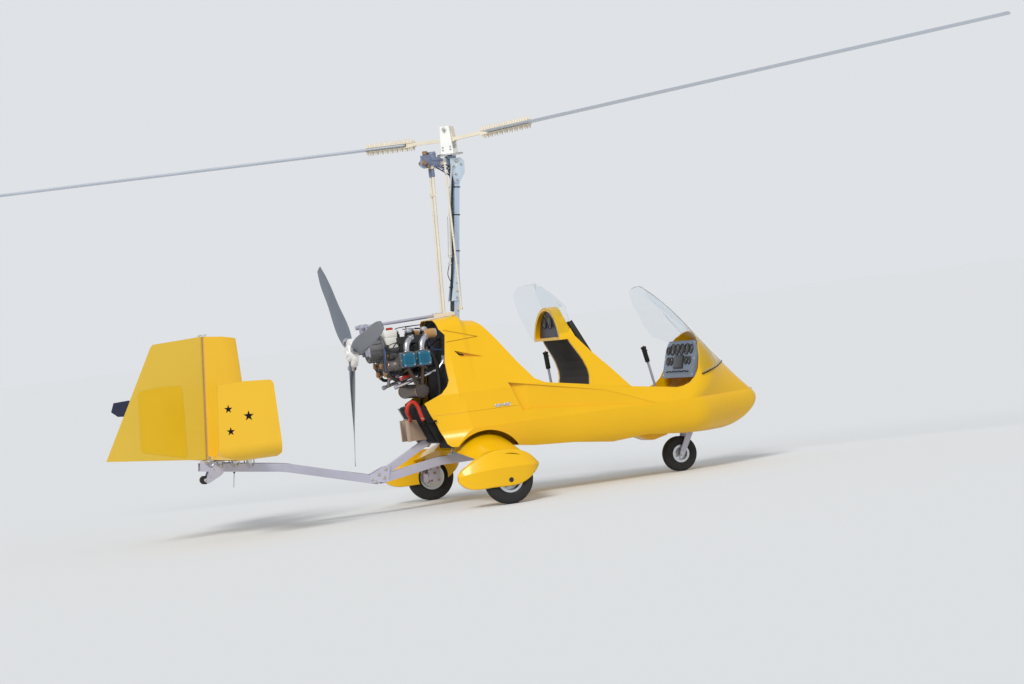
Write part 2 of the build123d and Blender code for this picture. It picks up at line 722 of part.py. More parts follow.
with BuildPart() as hub_bar:
    for index in (0, 1):
        with BuildSketch(blade_plane(index, -10)):
            Rectangle(BAR_WIDTH, 2 * BAR_HALF)
        extrude(amount=BAR_END_R + 10)
    with BuildSketch(tower_plane):
        with BuildLine():
            Polyline((-60, -14), (60, -14), (34, TEETER_RISE + 22), (-34, TEETER_RISE + 22), close=True)
        make_face()
    extrude(amount=BAR_WIDTH / 2, both=True)
    with BuildSketch(teeter_plane):
        Circle(TEETER_BOLT_RADIUS + 0.4)
    extrude(amount=BAR_WIDTH, both=True, mode=Mode.SUBTRACT)
hub_bar.part.label = "hub_bar"
export_step(hub_bar.part, "parts/hub_bar.step")

BLADE_THICKNESS = 24
with BuildPart() as blades:
    for index in (0, 1):
        with BuildSketch(blade_plane(index, BLADE_START_R)):
            with BuildLine():
                lead_x = 0.3 * BLADE_CHORD
                trail_x = lead_x - BLADE_CHORD
                crown = BLADE_THICKNESS / 2
                for sign in (1, -1):
                    ThreePointArc(
                        (lead_x - 4, sign * 5), (lead_x / 2, sign * 0.85 * crown), (0, sign * crown)
                    )
                    Line((0, sign * crown), (trail_x, sign * 1.5))
                ThreePointArc((lead_x - 4, 5), (lead_x, 0), (lead_x - 4, -5))
                Line((trail_x, 1.5), (trail_x, -1.5))
            make_face()
        extrude(amount=ROTOR_RADIUS - BLADE_START_R)
blades.part.label = "rotor_blades"
export_step(blades.part, "parts/rotor_blades.step")

with BuildPart() as straps:
    for index in (0, 1):
        for lift in (BAR_HALF, -BAR_HALF - STRAP_THICKNESS):
            with BuildSketch(blade_plane(index, STRAP_START_R, lift + STRAP_THICKNESS / 2)):
                Rectangle(STRAP_WIDTH, STRAP_THICKNESS)
            extrude(amount=STRAP_END_R - STRAP_START_R)
    add(blades.part, mode=Mode.SUBTRACT)
straps.part.label = "blade_straps"
export_step(straps.part, "parts/blade_straps.step")


# Engine: flat four with the propeller gearbox behind it
CASE_FRONT_X = -400
CASE_REAR_X = -700
CYLINDER_X = (-595, -480)
CYLINDER_RADIUS = 50
CASE_HALF_WIDTH = 95
HEAD_START_Y = 215
HEAD_END_Y = 255
ROCKER_END_Y = 300
FLANGE_X = -895
with BuildPart() as crankcase:
    with Locations(((CASE_FRONT_X + CASE_REAR_X) / 2, 0, CRANK_Z)):
        Box(CASE_FRONT_X - CASE_REAR_X, 2 * CASE_HALF_WIDTH, 190)
    with BuildSketch(Plane(origin=(CASE_REAR_X, 0, PROP_Z), z_dir=(-1, 0, 0), x_dir=(0, 1, 0))):
        Circle(85)
    extrude(amount=110)
    with BuildSketch(Plane(origin=(CASE_REAR_X, 0, PROP_Z), z_dir=(-1, 0, 0), x_dir=(0, 1, 0))):
        Circle(22)
    extrude(amount=CASE_REAR_X - FLANGE_X)
crankcase.part.label = "crankcase"
export_step(crankcase.part, "parts/crankcase.step")

with BuildPart() as cylinders:
    for side in (1, -1):
        for x in CYLINDER_X:
            with BuildSketch(Plane(origin=(x, side * CASE_HALF_WIDTH, CRANK_Z), z_dir=(0, side, 0))):
                Circle(CYLINDER_RADIUS)
            extrude(amount=HEAD_START_Y - CASE_HALF_WIDTH)
            for fin_y in range(CASE_HALF_WIDTH + 20, HEAD_START_Y - 5, 14):
                with BuildSketch(Plane(origin=(x, side * fin_y, CRANK_Z), z_dir=(0, side, 0))):
                    Circle(CYLINDER_RADIUS + 7)
                extrude(amount=4)
            with BuildSketch(Plane(origin=(x, side * HEAD_START_Y, CRANK_Z), z_dir=(0, side, 0), x_dir=(1, 0, 0))):
                RectangleRounded(104, 112, 12)
            extrude(amount=HEAD_END_Y - HEAD_START_Y)
cylinders.part.label = "cylinders"
export_step(cylinders.part, "parts/cylinders.step")

with BuildPart() as rocker_covers:
    for side in (1, -1):
        for x in CYLINDER_X:
            with BuildSketch(Plane(origin=(x, side * HEAD_END_Y, CRANK_Z), z_dir=(0, side, 0), x_dir=(1, 0, 0))):
                RectangleRounded(90, 96, 14)
            extrude(amount=ROCKER_END_Y - HEAD_END_Y)
rocker_covers.part.label = "rocker_covers"
export_step(rocker_covers.part, "parts/rocker_covers.step")

# Carburettors, airboxes and intake tubes above the cylinders
with BuildPart() as intakes:
    for side in (1, -1):
        for x in CYLINDER_X:
            add(rod((x, side * 225, CRANK_Z + 54), (x + 5, side * 190, 1215), 19))
        with Locations((-535, side * 185, 1225)):
            Box(190, 60, 50)
    add(cylinders.part, mode=Mode.SUBTRACT)
intakes.part.label = "intake_manifolds"
export_step(intakes.part, "parts/intake_manifolds.step")

# Coolant tank on top of the engine
with BuildPart() as tank:
    with Locations((-635, 0, CRANK_Z + 95)):
        Box(96, 110, 132, align=(Align.CENTER, Align.CENTER, Align.MIN))
tank.part.label = "coolant_tank"
export_step(tank.part, "parts/coolant_tank.step")

# Exhaust silencer across the underside
SILENCER_Z = 850
SILENCER_HALF = 215
with BuildPart() as exhaust:
    with BuildSketch(Plane(origin=(-500, SILENCER_HALF, SILENCER_Z), z_dir=(0, -1, 0))):
        Circle(50)
    extrude(amount=2 * SILENCER_HALF)
    with BuildSketch(Plane(origin=(-500, SILENCER_HALF - 3, SILENCER_Z), z_dir=(0, -1, 0))):
        Circle(46)
    extrude(amount=2 * SILENCER_HALF - 6, mode=Mode.SUBTRACT)
    for side in (1, -1):
        for x in CYLINDER_X:
            add(rod((x, side * 232, CRANK_Z - 54), (x + (-500 - x) * 0.8, side * 205, SILENCER_Z + 30), 15))
    add(cylinders.part, mode=Mode.SUBTRACT)
exhaust.part.label = "exhaust"
export_step(exhaust.part, "parts/exhaust.step")

# Radiator, slanted below the engine along the back edge of the body
with BuildPart() as radiator:
    with BuildSketch(Plane.XZ):
        with BuildLine():
            Polyline((-525, 745), (-485, 640), (-398, 462), (-430, 466), (-516, 612), (-552, 736), close=True)
        make_face()
    extrude(amount=225, both=True)
    for side in (1, -1):
        with Locations((-475, side * 250, 625)):
            Box(60, 70, 12)
    add(tub.part, mode=Mode.SUBTRACT)
    add(strut.part, mode=Mode.SUBTRACT)
radiator.part.label = "radiator"
export_step(radiator.part, "parts/radiator.step")

# Oil cooler with two hoses
with BuildPart() as oil_cooler:
    with BuildSketch(Plane.XZ.offset(0)):
        with BuildLine():
            Polyline((-606, 645), (-520, 645), (-514, 612), (-447, 495), (-588, 495), close=True)
        make_face()
    extrude(amount=65, both=True)
    add(radiator.part, mode=Mode.SUBTRACT)
    add(strut.part, mode=Mode.SUBTRACT)
oil_cooler.part.label = "oil_cooler"
export_step(oil_cooler.part, "parts/oil_cooler.step")

# Engine mount tubes
MOUNT_RADIUS = 11
with BuildPart() as engine_mount:
    for side in (1, -1):
        with BuildLine() as path:
            FilletPolyline(
                (-670, side * 150, 900), (-340, side * 150, 985),
                (FIREWALL_X - FIREWALL_THICKNESS / 2, side * 150, 1045), radius=40,
            )
        with BuildSketch(Plane(origin=path.line @ 0, z_dir=path.line % 0)):
            Circle(MOUNT_RADIUS)
        sweep(path=path.line)
        for x, z in ((-640, 908), (-430, 962)):
            add(rod((x, side * 80, CRANK_Z - 90), (x, side * 150, z), MOUNT_RADIUS))
        # Upper tube, from a post behind the gearbox to the bracket on the mast
        with Locations((-817, side * 60, 1256)):
            Box(14, 30, 236)
        add(rod((-842, side * 60, 1354), (-282, side * ROD_Y, 1371), MOUNT_RADIUS))
    add(firewall.part, mode=Mode.SUBTRACT)
    add(crankcase.part, mode=Mode.SUBTRACT)
    add(rods.part, mode=Mode.SUBTRACT)
engine_mount.part.label = "engine_mount"
export_step(engine_mount.part, "parts/engine_mount.step")


# Propeller
# distance behind the flange, radius
HUB_PROFILE = ((0, 70), (12, 70), (12, 105), (40, 105), (50, 92), (50, 62), (66, 56), (66, 24), (74, 20))
with BuildPart() as prop_hub:
    with BuildSketch(Plane.XZ):
        with BuildLine():
            Polyline(
                (FLANGE_X, PROP_Z), *((FLANGE_X - back, PROP_Z + radius) for back, radius in HUB_PROFILE),
                (FLANGE_X - HUB_PROFILE[-1][0], PROP_Z), close=True,
            )
        make_face()
    revolve(axis=Axis((0, 0, PROP_Z), (1, 0, 0)))
prop_hub.part.label = "propeller_hub"
export_step(prop_hub.part, "parts/propeller_hub.step")

# r, chord, thickness, twist in degrees from the plane of rotation
PROP_STATIONS = ((60, 60, 40, 40), (230, 118, 22, 34), (500, 108, 14, 22), (PROP_RADIUS, 60, 7, 14))
with BuildPart() as prop_blades:
    for azimuth in PROP_AZIMUTHS:
        out = Vector(0, sin(radians(azimuth)), cos(radians(azimuth)))
        side_dir = Vector(1, 0, 0).cross(out)
        with BuildPart(mode=Mode.PRIVATE) as blade:
            for r, chord, thickness, twist in PROP_STATIONS:
                chord_dir = side_dir * cos(radians(twist)) + Vector(1, 0, 0) * sin(radians(twist))
                with BuildSketch(Plane(origin=Vector(PROP_X, 0, PROP_Z) + out * r, x_dir=chord_dir, z_dir=out)):
                    Ellipse(chord / 2, thickness / 2)
            loft()
        add(blade.part)
    add(prop_hub.part, mode=Mode.SUBTRACT)
prop_blades.part.label = "propeller_blades"
export_step(prop_blades.part, "parts/propeller_blades.step")


# Tail
HINGE_LOW = Vector(-2105, 0, 568)
HINGE_HIGH = Vector(-2029, 0, 1432)
RUDDER_NOSE = 22
STAB_BOTTOM_Z = 550
STAB_THICKNESS = 36
STAB_HALF = 818
TIP_CORNER = 110
STAB_REAR_X = -2058
SKIN = 1.5
TIP_SIDE = (
    (-1742, 575), (-1750, 1055), (-1768, 1082), (-1946, 1094), (-2146, 1088), (-2191, 635),
    (-2174, 598), (-2028, STAB_BOTTOM_Z), (-1766, STAB_BOTTOM_Z),
)


def hinge_x(z):
    return HINGE_LOW.X + (HINGE_HIGH.X - HINGE_LOW.X) * (z - HINGE_LOW.Z) / (HINGE_HIGH.Z - HINGE_LOW.Z)


with BuildPart() as stabiliser:
    with BuildSketch(Plane.YZ.offset(-2200)):
        with BuildLine():
            FilletPolyline(
                (-STAB_HALF, 1100), (-STAB_HALF, STAB_BOTTOM_Z), (STAB_HALF, STAB_BOTTOM_Z),
                (STAB_HALF, 1100), radius=TIP_CORNER,
            )
            Line((STAB_HALF, 1100), (-STAB_HALF, 1100))
        make_face()
        with BuildLine():
            inside = STAB_HALF - STAB_THICKNESS
            FilletPolyline(
                (-inside, 1101), (-inside, STAB_BOTTOM_Z + STAB_THICKNESS),
                (inside, STAB_BOTTOM_Z + STAB_THICKNESS), (inside, 1101),
                radius=TIP_CORNER - STAB_THICKNESS,
            )
            Line((inside, 1101), (-inside, 1101))
        make_face(mode=Mode.SUBTRACT)
    extrude(amount=460)
    add(side_profile(TIP_SIDE, 900), mode=Mode.INTERSECT)
    with Locations((STAB_REAR_X - 300, 0, 600)):
        Box(600, 2 * (STAB_HALF - TIP_CORNER), 400, mode=Mode.SUBTRACT)
    with Locations((-1912, 0, STAB_BOTTOM_Z + STAB_THICKNESS / 2)):
        Box(280, 2 * (STAB_HALF - TIP_CORNER), STAB_THICKNESS - 2 * SKIN, mode=Mode.SUBTRACT)
    for side in (1, -1):
        with Locations((-1957, side * (STAB_HALF - STAB_THICKNESS / 2), 866)):
            Box(366, STAB_THICKNESS - 2 * SKIN, 404, mode=Mode.SUBTRACT)
stabiliser.part.label = "stabiliser"
export_step(stabiliser.part, "parts/stabiliser.step")

FIN_THICKNESS = 46
FIN_GAP = 6
# z, leading edge x
FIN_LEVELS = ((STAB_BOTTOM_Z + STAB_THICKNESS, -1744), (1432, -1768))
with BuildPart() as fin:
    for z, lead_x in FIN_LEVELS:
        rear_x = hinge_x(z) + RUDDER_NOSE + FIN_GAP
        with BuildSketch(Plane.XY.offset(z)):
            with BuildLine():
                half = FIN_THICKNESS / 2
                for sign in (1, -1):
                    ThreePointArc(
                        (lead_x - 130, sign * half), (lead_x - 55, sign * 0.8 * half),
                        (lead_x - 6, sign * 0.3 * half),
                    )
                ThreePointArc((lead_x - 6, 0.3 * half), (lead_x, 0), (lead_x - 6, -0.3 * half))
                Polyline(
                    (lead_x - 130, half), (rear_x, half), (rear_x, -half), (lead_x - 130, -half),
                )
            make_face()
    loft(ruled=True)
    with BuildPart(mode=Mode.PRIVATE) as outline:
        with BuildSketch(Plane.XZ):
            with BuildLine():
                Polyline((-1700, 500), (-1752, 1380), (-1780, 1396), (-1870, 1416), (-2020, 1432), (-2300, 1440), (-2300, 500), close=True)
            make_face()
        extrude(amount=200, both=True)
    add(outline.part, mode=Mode.INTERSECT)
    fin_core = ((-1878, 592), (-1902, 1405), (-1998, 1420), (-2062, 592))
    add(side_profile(fin_core, half - SKIN), mode=Mode.SUBTRACT)
fin.part.label = "fin"
export_step(fin.part, "parts/fin.step")

RUDDER_SIDE = (
    (-1990, 1434), (-2370, 1419), (-2399, 1386), (-2822, 690), (-2826, 665), (-2799, 644),
    (-2105, 566), (-2060, 566),
)
RUDDER_LEVELS = ((560, -2850), (1440, -2366))
PIN_RADIUS = 5
with BuildPart() as rudder:
    for z, trail_x in RUDDER_LEVELS:
        x = hinge_x(z)
        with BuildSketch(Plane.XY.offset(z)):
            with BuildLine():
                ThreePointArc((x, -RUDDER_NOSE), (x + RUDDER_NOSE, 0), (x, RUDDER_NOSE))
                Polyline((x, RUDDER_NOSE), (trail_x, 4), (trail_x, -4), (x, -RUDDER_NOSE))
            make_face()
    loft(ruled=True)
    add(side_profile(RUDDER_SIDE, 200), mode=Mode.INTERSECT)
    with BuildPart(mode=Mode.PRIVATE) as rudder_core:
        for z, trail_x in ((600, -2780), (1412, -2320)):
            x = hinge_x(z) - RUDDER_NOSE
            with BuildSketch(Plane.XY.offset(z)):
                with BuildLine():
                    root = RUDDER_NOSE - 2 * SKIN
                    Polyline((x, root), (trail_x, 2), (trail_x, -2), (x, -root), close=True)
                make_face()
        loft(ruled=True)
    add(rudder_core.part, mode=Mode.SUBTRACT)
    axis_dir = (HINGE_HIGH - HINGE_LOW).normalized()
    for start in (HINGE_LOW - axis_dir * 20, HINGE_HIGH - axis_dir * 40):
        with BuildSketch(Plane(origin=start, z_dir=axis_dir)):
            Circle(PIN_RADIUS + 0.3)
        extrude(amount=60, mode=Mode.SUBTRACT)
rudder.part.label = "rudder"
export_step(rudder.part, "parts/rudder.step")

# Trim tab on the back edge of the rudder
with BuildPart() as trim_tab:
    with BuildSketch(Plane.XZ):
        with BuildLine():
            Polyline((-2600, 940), (-2681, 947), (-2725, 985), (-2700, 1047), (-2590, 1052), (-2560, 1040), close=True)
        make_face()
    extrude(amount=1.5, both=True)
    add(rudder.part, mode=Mode.SUBTRACT)
trim_tab.part.label = "trim_tab"
export_step(trim_tab.part, "parts/trim_tab.step")

# Hinge brackets: one on the fin's top, one on the end of the boom, each with a pin
with BuildPart() as hinge_brackets:
    with Locations((hinge_x(1440) + 18, 0, 1437)):
        Box(70, 34, 4, align=(Align.CENTER, Align.CENTER, Align.MIN))
    with Locations((hinge_x(1440) + 42, 0, 1425)):
        Box(20, 34, 14, align=(Align.CENTER, Align.CENTER, Align.MIN))
    add(rod(HINGE_HIGH - axis_dir * 30, HINGE_HIGH + axis_dir * 7, PIN_RADIUS))
    add(rod(HINGE_LOW - axis_dir * 20, HINGE_LOW + axis_dir * 30, PIN_RADIUS))
    with Locations((HINGE_LOW.X - 4, 0, 500)):
        Box(50, 30, 60, align=(Align.CENTER, Align.CENTER, Align.MIN))
    add(fin.part, mode=Mode.SUBTRACT)
    with BuildPart(mode=Mode.PRIVATE) as boom_space:
        with BuildLine(Plane.XZ) as path:
            FilletPolyline(*BOOM_PATH, radius=900)
        with BuildSketch(Plane(origin=path.line @ 0, z_dir=path.line % 0, x_dir=(0, 1, 0))):
            Rectangle(BOOM_TUBE, BOOM_TUBE)
        sweep(path=path.line)
    add(boom_space.part, mode=Mode.SUBTRACT)
# Feet between the boom and the stabiliser
STAB_FEET_X = (-2000, -1890, -1780)


def boom_z(x):
    """Middle of the boom's rear run at x."""
    (bend_x, bend_z), (end_x, end_z) = BOOM_PATH[1:]
    return bend_z + (end_z - bend_z) * (x - bend_x) / (end_x - bend_x)


with BuildPart() as feet:
    for x in STAB_FEET_X:
        height = STAB_BOTTOM_Z - boom_z(x)
        with Locations((x, 0, boom_z(x))):
            Box(26, 60, height, align=(Align.CENTER, Align.CENTER, Align.MIN))
    add(boom_space.part, mode=Mode.SUBTRACT)
    add(hinge_brackets.part)
feet.part.label = "tail_brackets"
export_step(feet.part, "parts/tail_brackets.step")

# Tail skid: two plates with a roller between them
SKID_SIDE = ((-1960, 470), (-1976, 470), (-1998, 445), (-2100, 396), (-2124, 410), (-2095, 470), (-2078, 500), (-1960, 520))
ROLLER_X = -2122
ROLLER_Z = 424
ROLLER_RADIUS = 30
SKID_PLATE = 5
with BuildPart() as skid:
    for side in (1, -1):
        with BuildSketch(Plane.XZ.offset(-side * BOOM_TUBE / 2)):
            with BuildLine():
                Polyline(*SKID_SIDE, close=True)
            make_face()
        extrude(amount=-side * SKID_PLATE)
    with BuildSketch(Plane.XZ):
        with Locations((ROLLER_X + 12, ROLLER_Z)):
            Circle(12)
    extrude(amount=BOOM_TUBE / 2 + SKID_PLATE, both=True)
    with BuildSketch(Plane.XZ):
        with Locations((ROLLER_X, ROLLER_Z)):
            Circle(60)
    extrude(amount=BOOM_TUBE / 2 - 1, both=True, mode=Mode.SUBTRACT)
    with BuildSketch(Plane.XZ):
        with Locations((ROLLER_X, ROLLER_Z)):
            Circle(PIN_RADIUS)
    extrude(amount=BOOM_TUBE / 2 + SKID_PLATE, both=True)
    add(boom_space.part, mode=Mode.SUBTRACT)
skid.part.label = "tail_skid"
export_step(skid.part, "parts/tail_skid.step")

with BuildPart() as roller:
    with BuildSketch(Plane.XZ):
        with Locations((ROLLER_X, ROLLER_Z)):
            Circle(ROLLER_RADIUS)
            Circle(PIN_RADIUS + 0.3, mode=Mode.SUBTRACT)
    extrude(amount=20, both=True)
roller.part.label = "tail_roller"
export_step(roller.part, "parts/tail_roller.step")


# Wheels


def wheel_plane(x, y, z):
    """Plane through the middle of a wheel, with its axle along the plane's x."""
    return Plane(origin=(x, y, z), x_dir=(0, 1, 0), z_dir=(-1, 0, 0))


def tyre(diameter, width, rim_diameter, centre):
    """Tyre drawn as half of its section and turned round the axle."""
    outer = diameter / 2
    bead = rim_diameter / 2 - 10
    height = outer - bead
    half_profile = (
        (0.38 * width, bead), (0.38 * width, bead + 11), (width / 2, bead + 0.36 * height),
        (width / 2, outer - 0.3 * height), (0.3 * width, outer),
    )
    mirrored = tuple((-across, r) for across, r in reversed(half_profile))
    with BuildPart() as body:
        with BuildSketch(wheel_plane(*centre)):
            with BuildLine():
                FilletPolyline(
                    *half_profile, *mirrored, radius=(0, 0, 12, 15, 15, 15, 15, 12, 0, 0), close=True
                )
            make_face()
        revolve(axis=Axis(centre, (0, 1, 0)))
    return body.part


def rim(width, rim_diameter, centre, bore, disc_side=1, disc_radius=0):
    """Wheel rim with a dished web and lightening holes. The hub ends in a brake disc on disc_side."""
    edge = rim_diameter / 2
    bead = edge - 10
    half = 0.38 * width
    hub = bore + 14
    disc_profile = ((-half, hub),)
    if disc_radius:
        disc_profile = (
            (-half - 11, hub), (-half - 11, disc_radius), (-half - 16, disc_radius), (-half - 16, bore),
        )
    profile = (
        (-half, bead), (-half, edge), (-half - 5, edge), (-half - 5, bead - 7), (-6, bead - 12),
        (-6, hub), *disc_profile, (-half, bore) if not disc_radius else (0, bore), (half, bore),
        (half, hub), (6, hub), (6, bead - 12), (half + 5, bead - 7), (half + 5, edge), (half, edge),
        (half, bead),
    )
    with BuildPart() as body:
        with BuildSketch(wheel_plane(*centre)):
            with BuildLine():
                Polyline(*((disc_side * across, r) for across, r in profile), close=True)
            make_face()
        revolve(axis=Axis(centre, (0, 1, 0)))
        hole = (bead - bore - 26) * 0.3
        with BuildSketch(Plane(origin=centre, x_dir=(1, 0, 0), z_dir=(0, -1, 0))):
            with PolarLocations((bead + bore) / 2, 6):
                Circle(hole)
        extrude(amount=12, both=True, mode=Mode.SUBTRACT)
    return body.part


MAIN_AXLE_Z = MAIN_TYRE_DIAMETER / 2
NOSE_AXLE_Z = NOSE_TYRE_DIAMETER / 2
AXLE_FIT = 0.4
SIDES = (("left", 1), ("right", -1))
for name, side in SIDES:
    centre = (MAIN_AXLE_X, side * TRACK / 2, MAIN_AXLE_Z)
    main_tyre = tyre(MAIN_TYRE_DIAMETER, MAIN_TYRE_WIDTH, MAIN_RIM_DIAMETER, centre)
    main_tyre.label = f"main_tyre_{name}"
    export_step(main_tyre, f"parts/main_tyre_{name}.step")
    main_rim = rim(MAIN_TYRE_WIDTH, MAIN_RIM_DIAMETER, centre, AXLE_DIAMETER / 2 + AXLE_FIT, side, 80)
    main_rim.label = f"main_rim_{name}"
    export_step(main_rim, f"parts/main_rim_{name}.step")

nose_centre = (NOSE_AXLE_X, 0, NOSE_AXLE_Z)
NOSE_AXLE_RADIUS = 8
nose_tyre = tyre(NOSE_TYRE_DIAMETER, NOSE_TYRE_WIDTH, NOSE_RIM_DIAMETER, nose_centre)
nose_tyre.label = "nose_tyre"
export_step(nose_tyre, "parts/nose_tyre.step")
nose_rim = rim(NOSE_TYRE_WIDTH, NOSE_RIM_DIAMETER, nose_centre, NOSE_AXLE_RADIUS + AXLE_FIT)
nose_rim.label = "nose_rim"
export_step(nose_rim, "parts/nose_rim.step")

# Nose fork: two blades, a crown and the steering column
FORK_INNER = NOSE_TYRE_WIDTH / 2 + RUNNING_GAP + 4
FORK_BLADE = 10
CROWN_Z = 300
CROWN_THICKNESS = 22
COLUMN_RADIUS = 16
COLUMN_TOP_Z = 500
with BuildPart() as fork:
    for side in (1, -1):
        with BuildSketch(Plane.XZ.offset(-side * FORK_INNER)):
            with BuildLine():
                Polyline(
                    (NOSE_LEG_X - 30, CROWN_Z + CROWN_THICKNESS), (NOSE_LEG_X + 30, CROWN_Z + CROWN_THICKNESS),
                    (NOSE_LEG_X + 30, CROWN_Z - 30), (NOSE_AXLE_X + 17, NOSE_AXLE_Z - 10),
                    (NOSE_AXLE_X, NOSE_AXLE_Z - 20), (NOSE_AXLE_X - 17, NOSE_AXLE_Z - 8),
                    (NOSE_AXLE_X - 16, NOSE_AXLE_Z + 12), (NOSE_LEG_X - 26, CROWN_Z - 34), close=True,
                )
            make_face()
        extrude(amount=-side * FORK_BLADE)
    with Locations((NOSE_LEG_X, 0, CROWN_Z)):
        Box(60, 2 * FORK_INNER + 2, CROWN_THICKNESS, align=(Align.CENTER, Align.CENTER, Align.MIN))
    with Locations((NOSE_LEG_X, 0, CROWN_Z)):
        Cylinder(COLUMN_RADIUS, COLUMN_TOP_Z - CROWN_Z, align=(Align.CENTER, Align.CENTER, Align.MIN))
    with BuildSketch(Plane.XZ):
        with Locations((NOSE_AXLE_X, NOSE_AXLE_Z)):
            Circle(NOSE_AXLE_RADIUS)
    extrude(amount=FORK_INNER + FORK_BLADE, both=True)
fork.part.label = "nose_fork"
export_step(fork.part, "parts/nose_fork.step")

# Steering head: a bell over the crown, standing on the floor, with the column's bearing tube
BELL_RADIUS = NOSE_LEG_HOLE + 12
BELL_TOP_Z = 345
with BuildPart() as steering_head:
    with BuildSketch(Plane.XZ):
        with BuildLine():
            bearing = COLUMN_RADIUS + AXLE_FIT
            Polyline(
                (NOSE_LEG_X + bearing, BELL_TOP_Z), (NOSE_LEG_X + NOSE_LEG_HOLE, BELL_TOP_Z),
                (NOSE_LEG_X + NOSE_LEG_HOLE, 290.2), (NOSE_LEG_X + BELL_RADIUS, 290.2),
                (NOSE_LEG_X + BELL_RADIUS, BELL_TOP_Z + 8), (NOSE_LEG_X + bearing + 14, BELL_TOP_Z + 8),
                (NOSE_LEG_X + bearing + 10, 470), (NOSE_LEG_X + bearing, 470), close=True,
            )
        make_face()
    revolve(axis=Axis((NOSE_LEG_X, 0, 0), (0, 0, 1)))
    add(tub.part, mode=Mode.SUBTRACT)
steering_head.part.label = "steering_head"
export_step(steering_head.part, "parts/steering_head.step")

# Main wheel pants: streamlined shells, open below and beside the brake
# x, bottom z, crease z, top z, half width at the crease
PANT_STATIONS = (
    (64, 246, 256, 266, 9), (22, 206, 256, 308, 60), (-22, 172, 258, 344, 78), (-125, 131, 262, 380, 90),
    (-250, 130, 262, 386, 93), (-388, 130, 255, 344, 76), (-500, 158, 240, 282, 40), (-540, 200, 226, 244, 10),
)
PANT_WALL = 4


def pant(side, inset=0):
    """Six-sided streamlined body with a crease along its sides."""
    with BuildPart() as body:
        for x, bottom, crease, top, half_width in PANT_STATIONS:
            wide = half_width - inset
            points = (
                (0.8 * wide, bottom + inset), (wide, crease), (0.5 * wide, top - inset),
                (-0.5 * wide, top - inset), (-wide, crease), (-0.8 * wide, bottom + inset),
            )
            plane = Plane(origin=(x, side * TRACK / 2, 0), x_dir=(0, 1, 0), z_dir=(1, 0, 0))
            with BuildSketch(plane):
                with BuildLine():
                    FilletPolyline(*points, radius=0.12 * wide, close=True)
                make_face()
        loft()
    return body.part


with BuildPart() as pants:
    for name, side in SIDES:
        with BuildPart(mode=Mode.PRIVATE) as shell:
            add(pant(side))
            add(pant(side, PANT_WALL), mode=Mode.SUBTRACT)
            with BuildSketch(Plane(origin=(MAIN_AXLE_X, side * TRACK / 2, MAIN_AXLE_Z), z_dir=(0, 1, 0))):
                Circle(MAIN_TYRE_DIAMETER / 2 + RUNNING_GAP + 2)
            extrude(amount=MAIN_TYRE_WIDTH / 2 + 8, both=True, mode=Mode.SUBTRACT)
            with BuildSketch(Plane(origin=(MAIN_AXLE_X, side * TRACK / 2, MAIN_AXLE_Z), z_dir=(0, -side, 0))):
                Circle(118)
            extrude(amount=150, mode=Mode.SUBTRACT)
        add(shell.part)
pants.part.label = "wheel_pants"
export_step(pants.part, "parts/wheel_pants.step")

# Gear legs: streamlined fairings on both sides, joined under the body by the spring bow
LEG_ROOT_Y = 205
LEG_TIP_Y = 862
LEG_ROOT = ((-332, 392), (-100, 504), (137, 352))
LEG_TIP = ((-310, 306), (-150, 378), (25, 300))
BOW_FRONT_X = -10
BOW_REAR_X = -130
BOW_THICKNESS = 26
with BuildPart() as legs:
    for name, side in SIDES:
        for y, (rear, top, front) in ((LEG_ROOT_Y, LEG_ROOT), (LEG_TIP_Y, LEG_TIP)):
            with BuildSketch(Plane.XZ.offset(-side * y)):
                with BuildLine():
                    ThreePointArc(rear, top, front)
                    Line(front, rear)
                make_face()
        loft()
    with Locations(((BOW_FRONT_X + BOW_REAR_X) / 2, 0, KEEL_TOP_Z)):
        Box(BOW_FRONT_X - BOW_REAR_X, 2 * LEG_ROOT_Y + 20, BOW_THICKNESS, align=(Align.CENTER, Align.CENTER, Align.MIN))
        Box(BOW_FRONT_X - BOW_REAR_X - 40, 120, 60, align=(Align.CENTER, Align.CENTER, Align.MIN))
    for name, side in SIDES:
        add(pant(side), mode=Mode.SUBTRACT)
    add(tub.part, mode=Mode.SUBTRACT)
    add(mast.part, mode=Mode.SUBTRACT)
legs.part.label = "gear_legs"
export_step(legs.part, "parts/gear_legs.step")

# Stub axles with their plates and brake calipers
AXLE_PLATE_Y = TRACK / 2 - MAIN_TYRE_WIDTH / 2 - 58
with BuildPart() as axles:
    for name, side in SIDES:
        plate = Plane(
            origin=(MAIN_AXLE_X, side * AXLE_PLATE_Y, MAIN_AXLE_Z), x_dir=(1, 0, 0), z_dir=(0, side, 0),
        )
        up = 1 if plate.y_dir.Z > 0 else -1
        with BuildSketch(plate):
            with BuildLine():
                Polyline((-40, -40 * up), (40, -40 * up), (60, 165 * up), (-60, 165 * up), close=True)
            make_face()
        extrude(amount=-10)
        with BuildSketch(plate):
            Circle(AXLE_DIAMETER / 2)
        extrude(amount=TRACK / 2 + 0.38 * MAIN_TYRE_WIDTH - AXLE_PLATE_Y)
        with BuildSketch(plate):
            with Locations((-70, 0)):
                RectangleRounded(36, 60, 6)
        extrude(amount=-12)
        with BuildSketch(plate.offset(-10)):
            with Locations((-45, 0)):
                Rectangle(60, 30)
        extrude(amount=10)
    add(legs.part, mode=Mode.SUBTRACT)
axles.part.label = "axle_plates"
export_step(axles.part, "parts/axle_plates.step")

